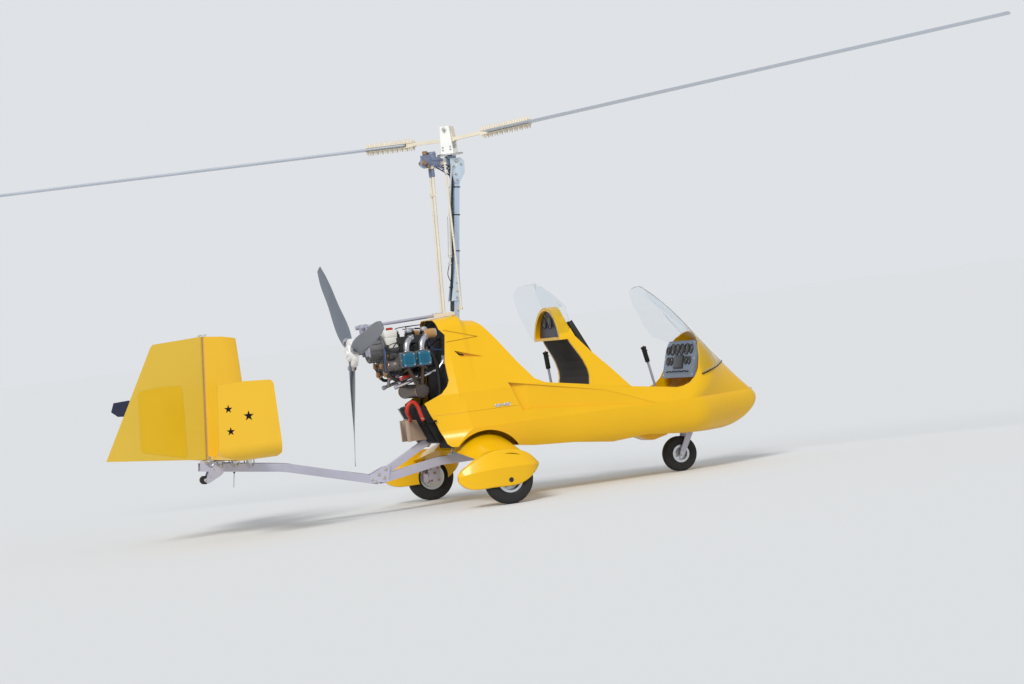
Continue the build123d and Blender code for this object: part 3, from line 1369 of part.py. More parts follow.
# Low fairing on the belly behind the nose wheel
with BuildPart() as belly_fairing:
    with BuildSketch(Plane.XZ):
        with BuildLine():
            Polyline((1118, 330), (1118, 319), (1235, 264), (1268, 262), (1377, 287), (1385, 310), close=True)
        make_face()
    extrude(amount=90, both=True)
    add(side_profile(LOWER_SIDE[4:12] + ((1674, 500), (-333, 500))), mode=Mode.SUBTRACT)
belly_fairing.part.label = "belly_fairing"
export_step(belly_fairing.part, "parts/belly_fairing.step")
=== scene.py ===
"""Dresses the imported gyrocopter: paints and metals, seats, instruments, engine fittings and fasteners.

Lengths are in millimetres, as in the CAD source. make() brings them to metres.
"""
import json
import math

import bmesh
import bpy
from mathutils import Matrix, Vector
from mathutils.bvhtree import BVHTree


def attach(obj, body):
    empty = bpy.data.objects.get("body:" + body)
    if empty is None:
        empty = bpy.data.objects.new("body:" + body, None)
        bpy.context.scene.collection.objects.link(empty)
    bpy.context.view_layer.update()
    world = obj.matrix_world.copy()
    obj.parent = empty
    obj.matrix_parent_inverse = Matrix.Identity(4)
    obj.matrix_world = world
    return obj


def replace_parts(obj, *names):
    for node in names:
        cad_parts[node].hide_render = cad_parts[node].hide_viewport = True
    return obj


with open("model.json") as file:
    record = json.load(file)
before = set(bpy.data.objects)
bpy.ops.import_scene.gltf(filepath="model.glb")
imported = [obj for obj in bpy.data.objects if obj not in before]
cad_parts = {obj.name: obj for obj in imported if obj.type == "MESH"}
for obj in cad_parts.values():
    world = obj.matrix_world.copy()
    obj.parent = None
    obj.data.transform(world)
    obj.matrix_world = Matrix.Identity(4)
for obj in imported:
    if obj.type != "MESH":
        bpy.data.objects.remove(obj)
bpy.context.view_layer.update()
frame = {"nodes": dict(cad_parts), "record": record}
nodes = frame["nodes"]
scene = bpy.context.scene

MM = 0.001
SIDES = (1, -1)
FORE, AFT, OUT, UP, DOWN = (1, 0, 0), (-1, 0, 0), (0, 1, 0), (0, 0, 1), (0, 0, -1)

# Measures repeated from the CAD source
HUB_Z = 2625
ROTOR_AZIMUTH = math.radians(-43.5)
BLADE_RISES = (math.radians(4.0), math.radians(1.2))
MAST_LEAN = math.radians(7.6)
MAST_FOOT = (-246, 356)
PROP_Z = 1180
CRANK_Z = 1085
CYLINDER_X = (-595, -480)


# Materials


def node(tree, kind, **values):
    """Adds a shader node. Each value goes to the socket of its name, written with underscores."""
    made = tree.nodes.new("ShaderNode" + kind)
    for socket, value in values.items():
        made.inputs[socket.replace("_", " ")].default_value = value
    return made


def material(name, colour, rough=0.4, metal=0.0, coat=0.0, mottle=0.06, mottle_scale=6.0,
             bump=0.0, bump_scale=150.0, wear=0.0, stretch=(1, 1, 1), weave=0.0, **sockets):
    """Principled material with mottled colour and roughness, a fine bump and worn edges.

    colour is in screen values, and becomes the linear one that shaders take.
    """
    colour = [((c / 255 + 0.055) / 1.055) ** 2.4 if c > 10 else c / 3295 for c in colour]
    mat = bpy.data.materials.new(name)
    mat.use_nodes = True
    tree = mat.node_tree
    link = tree.links.new
    shader = tree.nodes["Principled BSDF"]
    coords = node(tree, "TexCoord")
    mapping = node(tree, "Mapping", Scale=stretch)
    link(coords.outputs["Object"], mapping.inputs["Vector"])
    noise = node(tree, "TexNoise", Scale=mottle_scale, Detail=5)
    link(mapping.outputs["Vector"], noise.inputs["Vector"])
    ramp = node(tree, "ValToRGB")
    for stop, position, shade in zip(ramp.color_ramp.elements, (0.3, 0.7), (1 - mottle, 1 + mottle)):
        stop.position = position
        stop.color = [min(1.0, c * shade) for c in colour] + [1.0]
    link(noise.outputs["Fac"], ramp.inputs["Fac"])
    colour_out = ramp.outputs["Color"]
    if wear:
        edge = node(tree, "MapRange", From_Min=0.56, From_Max=0.68, To_Max=wear)
        link(node(tree, "NewGeometry").outputs["Pointiness"], edge.inputs["Value"])
        mix = node(tree, "Mix")
        mix.data_type = "RGBA"
        link(edge.outputs["Result"], mix.inputs["Factor"])
        link(colour_out, mix.inputs["A"])
        mix.inputs["B"].default_value = [min(1.0, c * 1.7 + 0.05) for c in colour] + [1.0]
        colour_out = mix.outputs["Result"]
    link(colour_out, shader.inputs["Base Color"])
    spread = node(tree, "MapRange", To_Min=max(0.02, rough * 0.8), To_Max=min(1.0, rough * 1.25))
    link(noise.outputs["Fac"], spread.inputs["Value"])
    link(spread.outputs["Result"], shader.inputs["Roughness"])
    if bump:
        fine = node(tree, "TexNoise", Scale=bump_scale, Detail=3)
        link(mapping.outputs["Vector"], fine.inputs["Vector"])
        height = fine.outputs["Fac"]
        if weave:
            wave = node(tree, "TexWave", Scale=weave)
            wave.bands_direction = "DIAGONAL"
            link(mapping.outputs["Vector"], wave.inputs["Vector"])
            blend = node(tree, "Mix", Factor=0.5)
            link(fine.outputs["Fac"], blend.inputs["A"])
            link(wave.outputs["Fac"], blend.inputs["B"])
            height = blend.outputs["Result"]
        bumper = node(tree, "Bump", Strength=bump, Distance=0.002)
        link(height, bumper.inputs["Height"])
        link(bumper.outputs["Normal"], shader.inputs["Normal"])
    sockets.update(Metallic=metal, Coat_Weight=coat, Coat_Roughness=0.04)
    for socket, value in sockets.items():
        shader.inputs[socket.replace("_", " ")].default_value = value
    return mat


GELCOAT = {"coat": 0.2, "mottle": 0.025, "mottle_scale": 3, "bump": 0.03, "bump_scale": 40,
           "Specular_IOR_Level": 0.3}
YELLOW = material("yellow_gelcoat", (233, 181, 2), 0.3, **GELCOAT | {"coat": 0.22, "mottle": 0.02})
TIP_YELLOW = material("tip_gelcoat", (234, 186, 44), 0.34, **GELCOAT)
TAIL_YELLOW = material("tail_gelcoat", (212, 178, 60), 0.36, **GELCOAT)
SCREEN = material("clear_acrylic", (246, 249, 251), 0.02, mottle=0.005, Transmission_Weight=1.0, IOR=1.12)
NAVY = material("navy_panel", (24, 32, 58), 0.4, mottle=0.1, bump=0.1)
PANEL = material("panel_crackle", (112, 124, 142), 0.55, mottle=0.08, bump=0.25, bump_scale=400, wear=0.3)
BLACK = material("black_moulding", (24, 24, 25), 0.5, mottle=0.15, bump=0.15, bump_scale=500, wear=0.3)
# Dark lining for the insides; on the firewall it serves as painted shade
INNER_LINING_AND_SHADE = material("inner_lining_and_painted_shade", (46, 45, 46), 0.85, mottle=0.12, bump=0.3, bump_scale=300)
GRIP = material("foam_grip", (18, 18, 18), 0.85, mottle=0.2, bump=0.5, bump_scale=700)
ALUMINIUM = material("machined_aluminium", (216, 214, 208), 0.34, 0.7, mottle_scale=14, bump=0.08,
                     bump_scale=260, wear=0.3)
TUBE = material("painted_tube", (174, 174, 190), 0.38, 0.35, mottle=0.05, bump=0.05, wear=0.4)
MAST = material("anodised_mast", (180, 196, 216), 0.36, 0.4, mottle_scale=5, bump=0.05,
                stretch=(6, 6, 0.6), wear=0.5)
HUB = material("hub_white", (238, 238, 236), 0.35, 0.1, mottle=0.03, bump=0.05, wear=0.2)
BLADE = material("blade_metal", (188, 196, 208), 0.34, 0.45, mottle=0.05, mottle_scale=3, bump=0.03)
CASTING = material("engine_casting", (112, 112, 114), 0.6, 0.7, mottle=0.2, mottle_scale=18, bump=0.5,
                   bump_scale=350, wear=0.4)
TEAL = material("rocker_paint", (18, 98, 126), 0.42, 0.3, mottle=0.1, bump=0.2, wear=0.5)
WHITE = material("tank_plastic", (236, 235, 228), 0.5, mottle=0.04, bump=0.1)
EXHAUST = material("heat_stained_steel", (92, 78, 66), 0.42, 0.8, mottle=0.3, mottle_scale=9, bump=0.1)
FINS = material("radiator_core", (30, 30, 32), 0.55, 0.6, mottle=0.15, bump=0.3, bump_scale=500)
SPINNER = material("spinner_paint", (226, 226, 226), 0.25, coat=0.5, mottle=0.03, bump=0.02)
PROP = material("prop_composite", (94, 102, 114), 0.35, coat=0.3, mottle=0.08, bump=0.05)
RUBBER = material("tyre_rubber", (30, 30, 31), 0.78, mottle=0.18, mottle_scale=22, bump=0.35, bump_scale=380)
RIM = material("wheel_alloy", (196, 199, 204), 0.33, 0.9, bump=0.06, wear=0.3)
RED = material("red_silicone", (186, 44, 30), 0.45, mottle=0.08, bump=0.2, bump_scale=260)
STEEL = material("zinc_steel", (198, 196, 190), 0.3, 0.85, mottle=0.08, bump=0.05)
STRAP = material("warm_aluminium", (230, 220, 200), 0.36, 0.3, mottle=0.05, mottle_scale=8, bump=0.05)
HEAD = material("head_castings", (122, 132, 156), 0.38, 0.5, mottle=0.1, mottle_scale=12, bump=0.06, wear=0.5)
COOLER = material("cooler_sheet", (186, 164, 144), 0.42, 0.4, mottle=0.08, mottle_scale=10, bump=0.06)
CABLE = material("black_cable", (20, 20, 20), 0.6, mottle=0.1, bump=0.1)
BLUE = material("blue_hose", (60, 84, 130), 0.45, mottle=0.1, bump=0.1)
TAN = material("tan_label", (188, 150, 104), 0.6, mottle=0.08, bump=0.05)
STAR = material("star_vinyl", (8, 8, 10), 0.6, mottle=0.1, bump=0.02, Specular_IOR_Level=0.2)
VINYL = material("seat_vinyl", (33, 33, 36), 0.58, mottle=0.14, mottle_scale=14, bump=0.5, bump_scale=420)
STITCH = material("seat_thread", (120, 120, 124), 0.7, mottle=0.1, bump=0.2)
WEBBING = material("harness_webbing", (40, 42, 50), 0.8, mottle=0.1, bump=0.6, bump_scale=900, weave=160)
DIAL = material("dial_face", (14, 15, 17), 0.35, mottle=0.05)
MARK = material("dial_marks", (232, 232, 226), 0.5, mottle=0.03)
GASKET = material("screen_gasket", (28, 28, 30), 0.6, mottle=0.1, bump=0.1)
BRONZE = material("bronze_bush", (162, 130, 100), 0.34, 0.9, mottle=0.14, mottle_scale=20, bump=0.08)
POLISHED = material("polished_alloy", (178, 178, 184), 0.26, 0.8, mottle_scale=16, bump=0.04)
DARK_STEEL = material("dark_steel", (84, 78, 76), 0.42, 0.8, mottle=0.2, mottle_scale=14, bump=0.1)
CHROME = material("chrome_tube", (214, 214, 220), 0.18, 0.9, mottle=0.04, bump=0.03)
# Painted shade for the floor of the scoop's recess
SCOOP_SHADE = material("painted_scoop_shade", (60, 44, 8), 0.7, mottle=0.1)
# Dark yellow for the tub's joint line, and painted shade along the pylon's creases
JOINT_AND_CREASE_SHADE = material("joint_and_painted_crease_shade", (176, 122, 4), 0.4, mottle=0.05)
# Painted shadow of the tip plate on the rudder
TIP_PLATE_SHADOW = material("painted_tip_plate_shadow", (212, 170, 0), 0.4, mottle=0.02, bump=0.03, bump_scale=40)
LOUVRE = material("louvre_metal", (58, 58, 62), 0.5, 0.7, mottle=0.12, bump=0.1)

SLOT_LOOKS = {
    "shell_yellow": YELLOW, "tail_yellow": TAIL_YELLOW, "clear_screen": SCREEN, "navy_panel": NAVY,
    "navy_metal": NAVY, "panel_grey": PANEL, "seat_black": VINYL, "bare_aluminium": ALUMINIUM,
    "inner_black": INNER_LINING_AND_SHADE, "black_plastic": GRIP, "frame_steel": TUBE, "mast_grey": MAST, "hub_white": HUB,
    "blade_grey": BLADE, "engine_grey": CASTING, "rocker_teal": TEAL, "tank_white": WHITE,
    "exhaust_metal": EXHAUST, "black_metal": FINS, "spinner_white": SPINNER, "prop_grey": PROP,
    "black_rubber": RUBBER, "tyre_black": RUBBER, "rim_silver": RIM,
}
# The firewall takes the dark lining as painted shade, for the shadowed engine bay
NODE_LOOKS = {"firewall": INNER_LINING_AND_SHADE, "stabiliser": TIP_YELLOW, "fin": TIP_YELLOW, "control_sticks": TUBE,
              "intake_manifolds": BLACK, "blade_straps": STRAP, "hub_bar": STRAP, "push_pull_rods": STRAP,
              "rotor_head": HEAD, "oil_cooler": COOLER}
for part in frame["record"]["subparts"]:
    mesh = nodes[part["node"]].data
    mesh.materials.clear()
    mesh.materials.append(NODE_LOOKS.get(part["node"], SLOT_LOOKS[part["material_slot"]]))

# Foot and top of each stick as (x, z), and the height where its grip starts
STICKS = (((1430, 296), (1309, 940), 835), ((585, 344), (540, 996), 882))
MID_CABIN_X = 1000
stick_mesh = nodes["control_sticks"].data
stick_mesh.materials.append(GRIP)
for polygon in stick_mesh.polygons:
    stick = STICKS[0 if polygon.center.x > MID_CABIN_X * MM else 1]
    polygon.material_index = int(polygon.center.z > stick[2] * MM)


# Mesh helpers


def make(name, bm, look, body="airframe", smooth=35.0):
    """Turns a bmesh into a piece that rides on a body."""
    bmesh.ops.scale(bm, vec=(MM, MM, MM), verts=bm.verts)
    bmesh.ops.recalc_face_normals(bm, faces=bm.faces)
    mesh = bpy.data.meshes.new(name)
    bm.to_mesh(mesh)
    bm.free()
    mesh.materials.append(look)
    if smooth:
        for polygon in mesh.polygons:
            polygon.use_smooth = True
        mesh.set_sharp_from_angle(angle=math.radians(smooth))
    obj = bpy.data.objects.new(name, mesh)
    scene.collection.objects.link(obj)
    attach(obj, body)
    return obj


def mirror(bm):
    """Adds the mirror image of all that bm holds, on the machine's other side."""
    copies = bmesh.ops.duplicate(bm, geom=bm.verts[:] + bm.edges[:] + bm.faces[:])["geom"]
    copied = [part for part in copies if isinstance(part, bmesh.types.BMVert)]
    bmesh.ops.scale(bm, vec=(1, -1, 1), verts=copied)


def turn(angle, axis="Y"):
    """Rotation about one of the main axes."""
    return Matrix.Rotation(angle, 4, axis)


def basis(axis):
    """Rotation whose Z looks along axis."""
    return Vector(axis).normalized().to_track_quat("Z", "Y").to_matrix().to_4x4()


def mast_x(z):
    """Centre of the mast at height z."""
    return MAST_FOOT[0] + (z - MAST_FOOT[1]) * math.tan(MAST_LEAN)


def circle(count, radius, start=0.0):
    """Angles round a circle, each with its cosine and sine times the radius."""
    for i in range(count):
        angle = start + 2 * math.pi * i / count
        yield angle, radius * math.cos(angle), radius * math.sin(angle)


def join(bm, rows, loop=True, ends=False):
    """Adds the faces between neighbouring rows of vertices, and over the ends of a tube."""
    for low, high in zip(rows, rows[1:]):
        for k in range(len(low) if loop else len(low) - 1):
            j = (k + 1) % len(low)
            bm.faces.new((low[k], low[j], high[j], high[k]))
    if ends:
        bm.faces.new(rows[0][::-1])
        bm.faces.new(rows[-1])


def lathe(bm, profile, centre, axis, segments=24, closed=False):
    """Adds a turned form. profile is (radius, height along the axis), from end to end or all round."""
    place = Matrix.Translation(centre) @ basis(axis)
    rings = []
    for radius, height in profile:
        spots = circle(segments, radius) if radius else ((0, 0, 0),)
        rings.append([bm.verts.new(place @ Vector((x, y, height))) for _, x, y in spots])
    for low, high in zip(rings, rings[1:] + rings[:closed]):
        for i in range(segments):
            j = (i + 1) % segments
            if len(low) == 1:
                bm.faces.new((low[0], high[i], high[j]))
            elif len(high) == 1:
                bm.faces.new((low[i], low[j], high[0]))
            else:
                bm.faces.new((low[i], low[j], high[j], high[i]))


def turned(bm, rim, centre, axis, segments=24):
    """Adds a turned form with flat ends. rim is its outline from one end's edge to the other's."""
    lathe(bm, [(0, rim[0][1]), *rim, (0, rim[-1][1])], centre, axis, segments)


def bolt(bm, centre, axis, size=6, height=None):
    """Hexagon head on a washer, with a slightly domed top."""
    height = height or size * 0.8
    lathe(bm, ((0, 0), (size * 1.35, 0), (size * 1.35, height * 0.3), (size, height * 0.3)), centre, axis, 16)
    lathe(bm, ((size, height * 0.3), (size, height), (size * 0.8, height * 1.15), (0, height * 1.15)),
          centre, axis, 6)


def rounded_box(bm, centre, size, bevel, place=None):
    """Box with rounded edges, turned by a matrix."""
    made = bmesh.ops.create_cube(bm, size=1.0)["verts"]
    bmesh.ops.scale(bm, vec=size, verts=made)
    edges = list({edge for vert in made for edge in vert.link_edges})
    made = bmesh.ops.bevel(bm, geom=edges, offset=bevel, segments=2, affect="EDGES", profile=0.7)["verts"]
    moved = Matrix.Translation(centre) @ (place or Matrix.Identity(4))
    whole = {v for face in {f for v in made for f in v.link_faces} for v in face.verts}
    bmesh.ops.transform(bm, matrix=moved, verts=list(whole))


def sweep(bm, points, radius, segments=8):
    """Adds a round bar along points."""
    line = [Vector(p) for p in points]
    side = (line[1] - line[0]).orthogonal().normalized()
    rings = []
    for i, spot in enumerate(line):
        ahead = (line[min(i + 1, len(line) - 1)] - line[max(i - 1, 0)]).normalized()
        side = (side - ahead * side.dot(ahead)).normalized()
        over = ahead.cross(side)
        rings.append([bm.verts.new(spot + side * c + over * s) for _, c, s in circle(segments, radius)])
    join(bm, rings, ends=True)


def hose(bm, points, radius, segments=10, step=10):
    """Adds a hose, cable or bent tube that runs smoothly through points."""
    fixed = [Vector(p) for p in points]
    ends = [2 * fixed[0] - fixed[1]] + fixed + [2 * fixed[-1] - fixed[-2]]
    line = []
    for a, b, c, d in zip(ends, ends[1:], ends[2:], ends[3:]):
        count = max(2, int((c - b).length / step))
        for i in range(count):
            t = i / count
            line.append(0.5 * (2 * b + (c - a) * t + (2 * a - 5 * b + 4 * c - d) * t * t
                               + (3 * b - a - 3 * c + d) * t ** 3))
    sweep(bm, line + [fixed[-1]], radius, segments)


def hoses(bm, radius, segments, *runs, step=10):
    """Adds hoses on both sides. Each run is the points of one on the left."""
    for run in runs:
        for side in SIDES:
            hose(bm, [(x, side * y, z) for x, y, z in run], radius, segments, step)


def coil(bm, start, end, radius, wire, turns):
    """Adds a coil spring from start to end, with 14 steps a turn."""
    start, end = Vector(start), Vector(end)
    place = basis(end - start)
    count = turns * 14
    line = []
    for i in range(count + 1):
        angle = 2 * math.pi * turns * i / count
        line.append(start.lerp(end, i / count)
                    + place @ Vector((radius * math.cos(angle), radius * math.sin(angle), 0)))
    sweep(bm, line, wire, 6)


def hoop(bm, centre, axis, radius, wire, segments=28, around=8):
    """Adds a round ring of round wire."""
    place = Matrix.Translation(centre) @ basis(axis)
    rings = []
    for _, x, y in circle(segments, 1):
        rings.append([bm.verts.new(place @ Vector(((radius + c) * x, (radius + c) * y, s)))
                      for _, c, s in circle(around, wire)])
    join(bm, rings + rings[:1])


def skin(*names):
    """Search tree over the surfaces of CAD nodes."""
    verts = []
    faces = []
    for name in names:
        start = len(verts)
        verts += [v.co / MM for v in nodes[name].data.vertices]
        faces += [[start + i for i in p.vertices] for p in nodes[name].data.polygons]
    return BVHTree.FromPolygons(verts, faces)


def on_skin(tree, x, z, side):
    """Outermost point and outward normal at side view place x, z, or None."""
    spot, normal, _, _ = tree.ray_cast(Vector((x, side * 3000, z)), Vector((0, -side, 0)))
    if spot is None:
        return None
    return spot, normal * (1 if normal.y * side > 0 else -1)


def strip(bm, tree, line, side, width, lift=0.6, step=12):
    """Adds a flat band, draped over a skin along a side view line of (x, z) points."""
    for (x0, z0), (x1, z1) in zip(line, line[1:]):
        length = math.hypot(x1 - x0, z1 - z0)
        across = Vector((z0 - z1, 0, x1 - x0)) / length * width / 2
        count = max(1, int(length / step))
        previous = None
        for i in range(count + 1):
            at = Vector((x0 + (x1 - x0) * i / count, 0, z0 + (z1 - z0) * i / count))
            found = [on_skin(tree, spot.x, spot.z, side) for spot in (at - across, at + across)]
            pair = [bm.verts.new(hit[0] + hit[1] * lift) for hit in found if hit]
            if len(pair) == 2 and previous:
                bm.faces.new((previous[0], previous[1], pair[1], pair[0]))
            previous = pair if len(pair) == 2 else None


def drape(tree, line, side, lift, step=15):
    """Points on a skin along a side view line."""
    places = []
    for (x0, z0), (x1, z1) in zip(line, line[1:]):
        count = max(1, int(math.hypot(x1 - x0, z1 - z0) / step))
        places += [(x0 + (x1 - x0) * i / count, z0 + (z1 - z0) * i / count) for i in range(count)]
    found = [on_skin(tree, x, z, side) for x, z in places + [line[-1]]]
    return [hit[0] + hit[1] * lift for hit in found if hit]


def bar(bm, start, end, size, bevel=1):
    """Adds a rounded bar of cross section size (along Y, across) from start to end in a side view plane."""
    start, end = Vector(start), Vector(end)
    angle = math.atan2(end.z - start.z, end.x - start.x)
    rounded_box(bm, (start + end) / 2, ((end - start).length, size[0], size[1]), bevel, turn(-angle))


# Camera at the photograph's place, in metres

yaw = math.radians(19.1226)
dip = math.radians(0.7722)
roll = math.radians(7.1759)
forward = Vector((math.sin(yaw) * math.cos(dip), math.cos(yaw) * math.cos(dip), -math.sin(dip)))
level = Vector((math.cos(yaw), -math.sin(yaw), 0))
upright = level.cross(forward)
right = math.cos(roll) * level - math.sin(roll) * upright
up = math.sin(roll) * level + math.cos(roll) * upright
camera = bpy.data.objects.new("camera", bpy.data.cameras.new("camera"))
scene.collection.objects.link(camera)
camera.matrix_world = Matrix((
    (right.x, up.x, -forward.x, -7.956), (right.y, up.y, -forward.y, -23.792),
    (right.z, up.z, -forward.z, 1.450), (0, 0, 0, 1),
))
FOCUS_PIXELS = 3450
PICTURE_PIXELS = 1024
camera.data.sensor_width = 36
camera.data.lens = FOCUS_PIXELS / PICTURE_PIXELS * camera.data.sensor_width
camera.data.clip_end = 400
scene.camera = camera
scene.view_settings.view_transform = "Standard"

# A pale floor of 300 m
floor_mesh = bpy.data.meshes.new("floor")
bm = bmesh.new()
bmesh.ops.create_grid(bm, x_segments=1, y_segments=1, size=150.0)
bm.to_mesh(floor_mesh)
bm.free()
floor = bpy.data.objects.new("floor", floor_mesh)
scene.collection.objects.link(floor)
floor_look = bpy.data.materials.new("pale_floor")
floor_look.use_nodes = True
tree = floor_look.node_tree
shader = tree.nodes["Principled BSDF"]
shader.inputs["Roughness"].default_value = 0.9
shader.inputs["Specular IOR Level"].default_value = 0.1
noise = node(tree, "TexNoise", Scale=0.6)
ramp = node(tree, "ValToRGB")
ramp.color_ramp.elements[0].color = (0.71, 0.73, 0.75, 1)
ramp.color_ramp.elements[1].color = (0.74, 0.76, 0.78, 1)
tree.links.new(noise.outputs["Fac"], ramp.inputs["Fac"])
tree.links.new(ramp.outputs["Color"], shader.inputs["Base Color"])
floor_mesh.materials.append(floor_look)

# The world lights softly; what the camera and mirror rays see of it is a pale backdrop
world = bpy.data.worlds.new("studio")
scene.world = world
world.use_nodes = True
tree = world.node_tree
soft = tree.nodes["Background"]
soft.inputs["Color"].default_value = (0.95, 0.97, 1.0, 1)
soft.inputs["Strength"].default_value = 0.6
backdrop = node(tree, "Background", Color=(0.74, 0.76, 0.79, 1), Strength=1.0)
rays = node(tree, "LightPath")
seen = rays.outputs["Is Camera Ray"]
for ray in ("Is Glossy Ray", "Is Transmission Ray"):
    either = node(tree, "Math")
    either.operation = "MAXIMUM"
    tree.links.new(seen, either.inputs[0])
    tree.links.new(rays.outputs[ray], either.inputs[1])
    seen = either.outputs["Value"]
choice = node(tree, "MixShader")
tree.links.new(seen, choice.inputs["Fac"])
tree.links.new(soft.outputs["Background"], choice.inputs[1])
tree.links.new(backdrop.outputs["Background"], choice.inputs[2])
tree.links.new(choice.outputs["Shader"], tree.nodes["World Output"].inputs["Surface"])

sun = bpy.data.lights.new("key", "SUN")
sun.energy = 2.2
sun.angle = 0.35
sun.color = (1.0, 0.97, 0.92)
sun_lamp = bpy.data.objects.new("key", sun)
scene.collection.objects.link(sun_lamp)
sun_lamp.rotation_mode = "QUATERNION"
sun_lamp.rotation_quaternion = Vector((7, 9, -9)).to_track_quat("-Z", "Y")


# Rotor: bolts through the straps, blade rivets and teeter fittings


def blade_frame(index):
    """Outward, leading and upward directions of a blade."""
    azimuth = ROTOR_AZIMUTH + math.pi * index
    rise = BLADE_RISES[index]
    out = Vector((math.cos(rise) * math.cos(azimuth), math.cos(rise) * math.sin(azimuth), math.sin(rise)))
    lead = Vector((-math.sin(azimuth), math.cos(azimuth), 0))
    return out, lead, out.cross(lead)


hub_centre = Vector((0, 0, HUB_Z))
bolts = bmesh.new()
rivets = bmesh.new()
for index in (0, 1):
    out, lead, lift = blade_frame(index)
    for face in (lift, -lift):
        for reach in (290, 312, 345, 385, 425, 465, 505, 545, 585, 625, 648):
            for across in (20, -20):
                spot = hub_centre + out * reach + lead * across + face * 19
                bolt(bolts, spot, face, 7.8, 13)
                lathe(bolts, ((4.2, 10), (4.2, 24), (3, 25.5), (0, 25.5)), spot, face, 10)
        for i in range(9):
            spot = hub_centre + out * (700 + i * 410) + lead * 12 + face * 11.8
            lathe(rivets, ((0, 0), (4, 0), (3, 0.8), (0, 1)), spot, face, 10)
make("strap_bolts", bolts, STRAP, body="rotor")
make("blade_rivets", rivets, STEEL, body="rotor")

tower_out = Vector((math.cos(ROTOR_AZIMUTH), math.sin(ROTOR_AZIMUTH), 0))
tower_side = Vector((-tower_out.y, tower_out.x, 0))
bm = bmesh.new()
for face in (tower_side, -tower_side):
    bolt(bm, Vector((0, 0, 2703)) + face * 55, face, 11, 12)
    for z in (2555, 2575):
        for across in (30, -30):
            bolt(bm, Vector((0, 0, z)) + face * 43 + tower_out * across, face)
make("tower_bolts", bm, STEEL, body="rotor_hub")

RING_TEETH = 72
bm = bmesh.new()
for angle, x, y in circle(RING_TEETH, 93.5):
    rounded_box(bm, (x, y, 2521), (5, 4.2, 11.5), 0.6, turn(angle, "Z"))
make("ring_gear_teeth", bm, STEEL, body="rotor_hub")


# Mast and rotor head: bolts, bushes, springs and the cables that run up the mast

CHEEK_FACE = 44
bm = bmesh.new()
for x, z, size in ((28, 2468, 12), (60, 2440, 7), (4, 2432, 7), (12, 2372, 7), (mast_x(2330), 2330, 8)):
    bolt(bm, (x, CHEEK_FACE, z), OUT, size, 8)
for z in (1482, 1530, 1590, 1660, 1735):
    bolt(bm, (mast_x(z), CHEEK_FACE, z), OUT, 7)
for x in (-270, -245, -225):
    bolt(bm, (x, 30, 1384), UP)
mirror(bm)
for _, x, y in circle(6, 23):
    bolt(bm, (x - 140, y, 2552), UP, 4)
make("mast_bolts", bm, STEEL)

bm = bmesh.new()
turned(bm, ((15, 0), (17, 3), (17, 22), (13, 26), (13, 34)), (-216, 24, 2478), OUT, 20)
lathe(bm, ((0, 0), (10, 0), (12, 2), (12, 18), (0, 20)), (-185, 24, 2455), OUT, 20)
hoop(bm, (-157, 32, 2428), UP, 10, 4)
mirror(bm)
turned(bm, ((16, 0), (19, 4), (19, 26), (16, 30)), (-190, 0, 2534), UP)
make("bronze_bushes", bm, BRONZE)

bm = bmesh.new()
rounded_box(bm, (-196, 31, 2490), (52, 6, 50), 2, turn(0.25))
rounded_box(bm, (-120, 29, 2500), (70, 5, 26), 2, turn(0.1))
turned(bm, ((6, 0), (6, 40)), (-45, 28, 2418), OUT, 12)
turned(bm, ((11, 0), (12, 2), (12, 50), (9, 54)), (-157, 32, 2370), UP, 18)
mirror(bm)
for side in SIDES:
    coil(bm, (-205, side * 40, 2470), (-45, side * 40, 2418), 8, 1.6, 16)
rounded_box(bm, (-150, 0, 2452), (66, 74, 20), 3)
hoop(bm, (-140, 0, 2536), UP, 31, 3)
make("head_fittings", bm, HEAD)

bm = bmesh.new()
for y, back, low, high in ((-14, 27, 1390, 2370), (4, 28, 1390, 2330), (18, 26, 1390, 2400)):
    line = [(mast_x(z) - back - 3 * math.sin(0.009 * z + 0.06 * y), y, z)
            for z in [low + (high - low) * i / 9 for i in range(10)]]
    line += [(mast_x(high) - back - 12, y, high + 40), (-135, y * 1.4, 2452)]
    hose(bm, line, 4.2, 8)
hose(bm, ((-133, -62, 1722), (-150, -60, 1650), (mast_x(1550) - 30, -40, 1550),
          (mast_x(1420) - 30, -30, 1385)), 3, 8)
make("mast_cables", bm, CABLE)

lean = turn(MAST_LEAN)
bm = bmesh.new()
for z in (1560, 1820, 2080, 2280):
    for size, shift in (((60, 2, 8), (0, 37.2, 0)), ((60, 2, 8), (0, -37.2, 0)),
                        ((2, 76, 8), (28, 0, 0)), ((2, 76, 8), (-30, 0, 0))):
        rounded_box(bm, Vector((mast_x(z) - 6, 0, z)) + lean @ Vector(shift), size, 0.6, lean)
make("mast_ties", bm, CABLE)

bm = bmesh.new()
for z in (1790, 2055):
    hoop(bm, (-118 + (z - 1776) * 32 / 296, -62, z), (0.108, 0, 1), 16, 2.5)
for z in (1400, 1930, 2450):
    hoop(bm, (-89 + (z - 1400) * 11 / 1055, -90, z), UP, 8, 3)
turned(bm, ((11, 0), (13, 3), (13, 22), (9, 26)), (-78, -90, 2470), UP, 18)
turned(bm, ((8, 0), (8, 18)), (-78.5, -90, 2372), UP, 18)
make("mast_rings", bm, STEEL)


# Engine: ribs, flanges and bolts on its castings

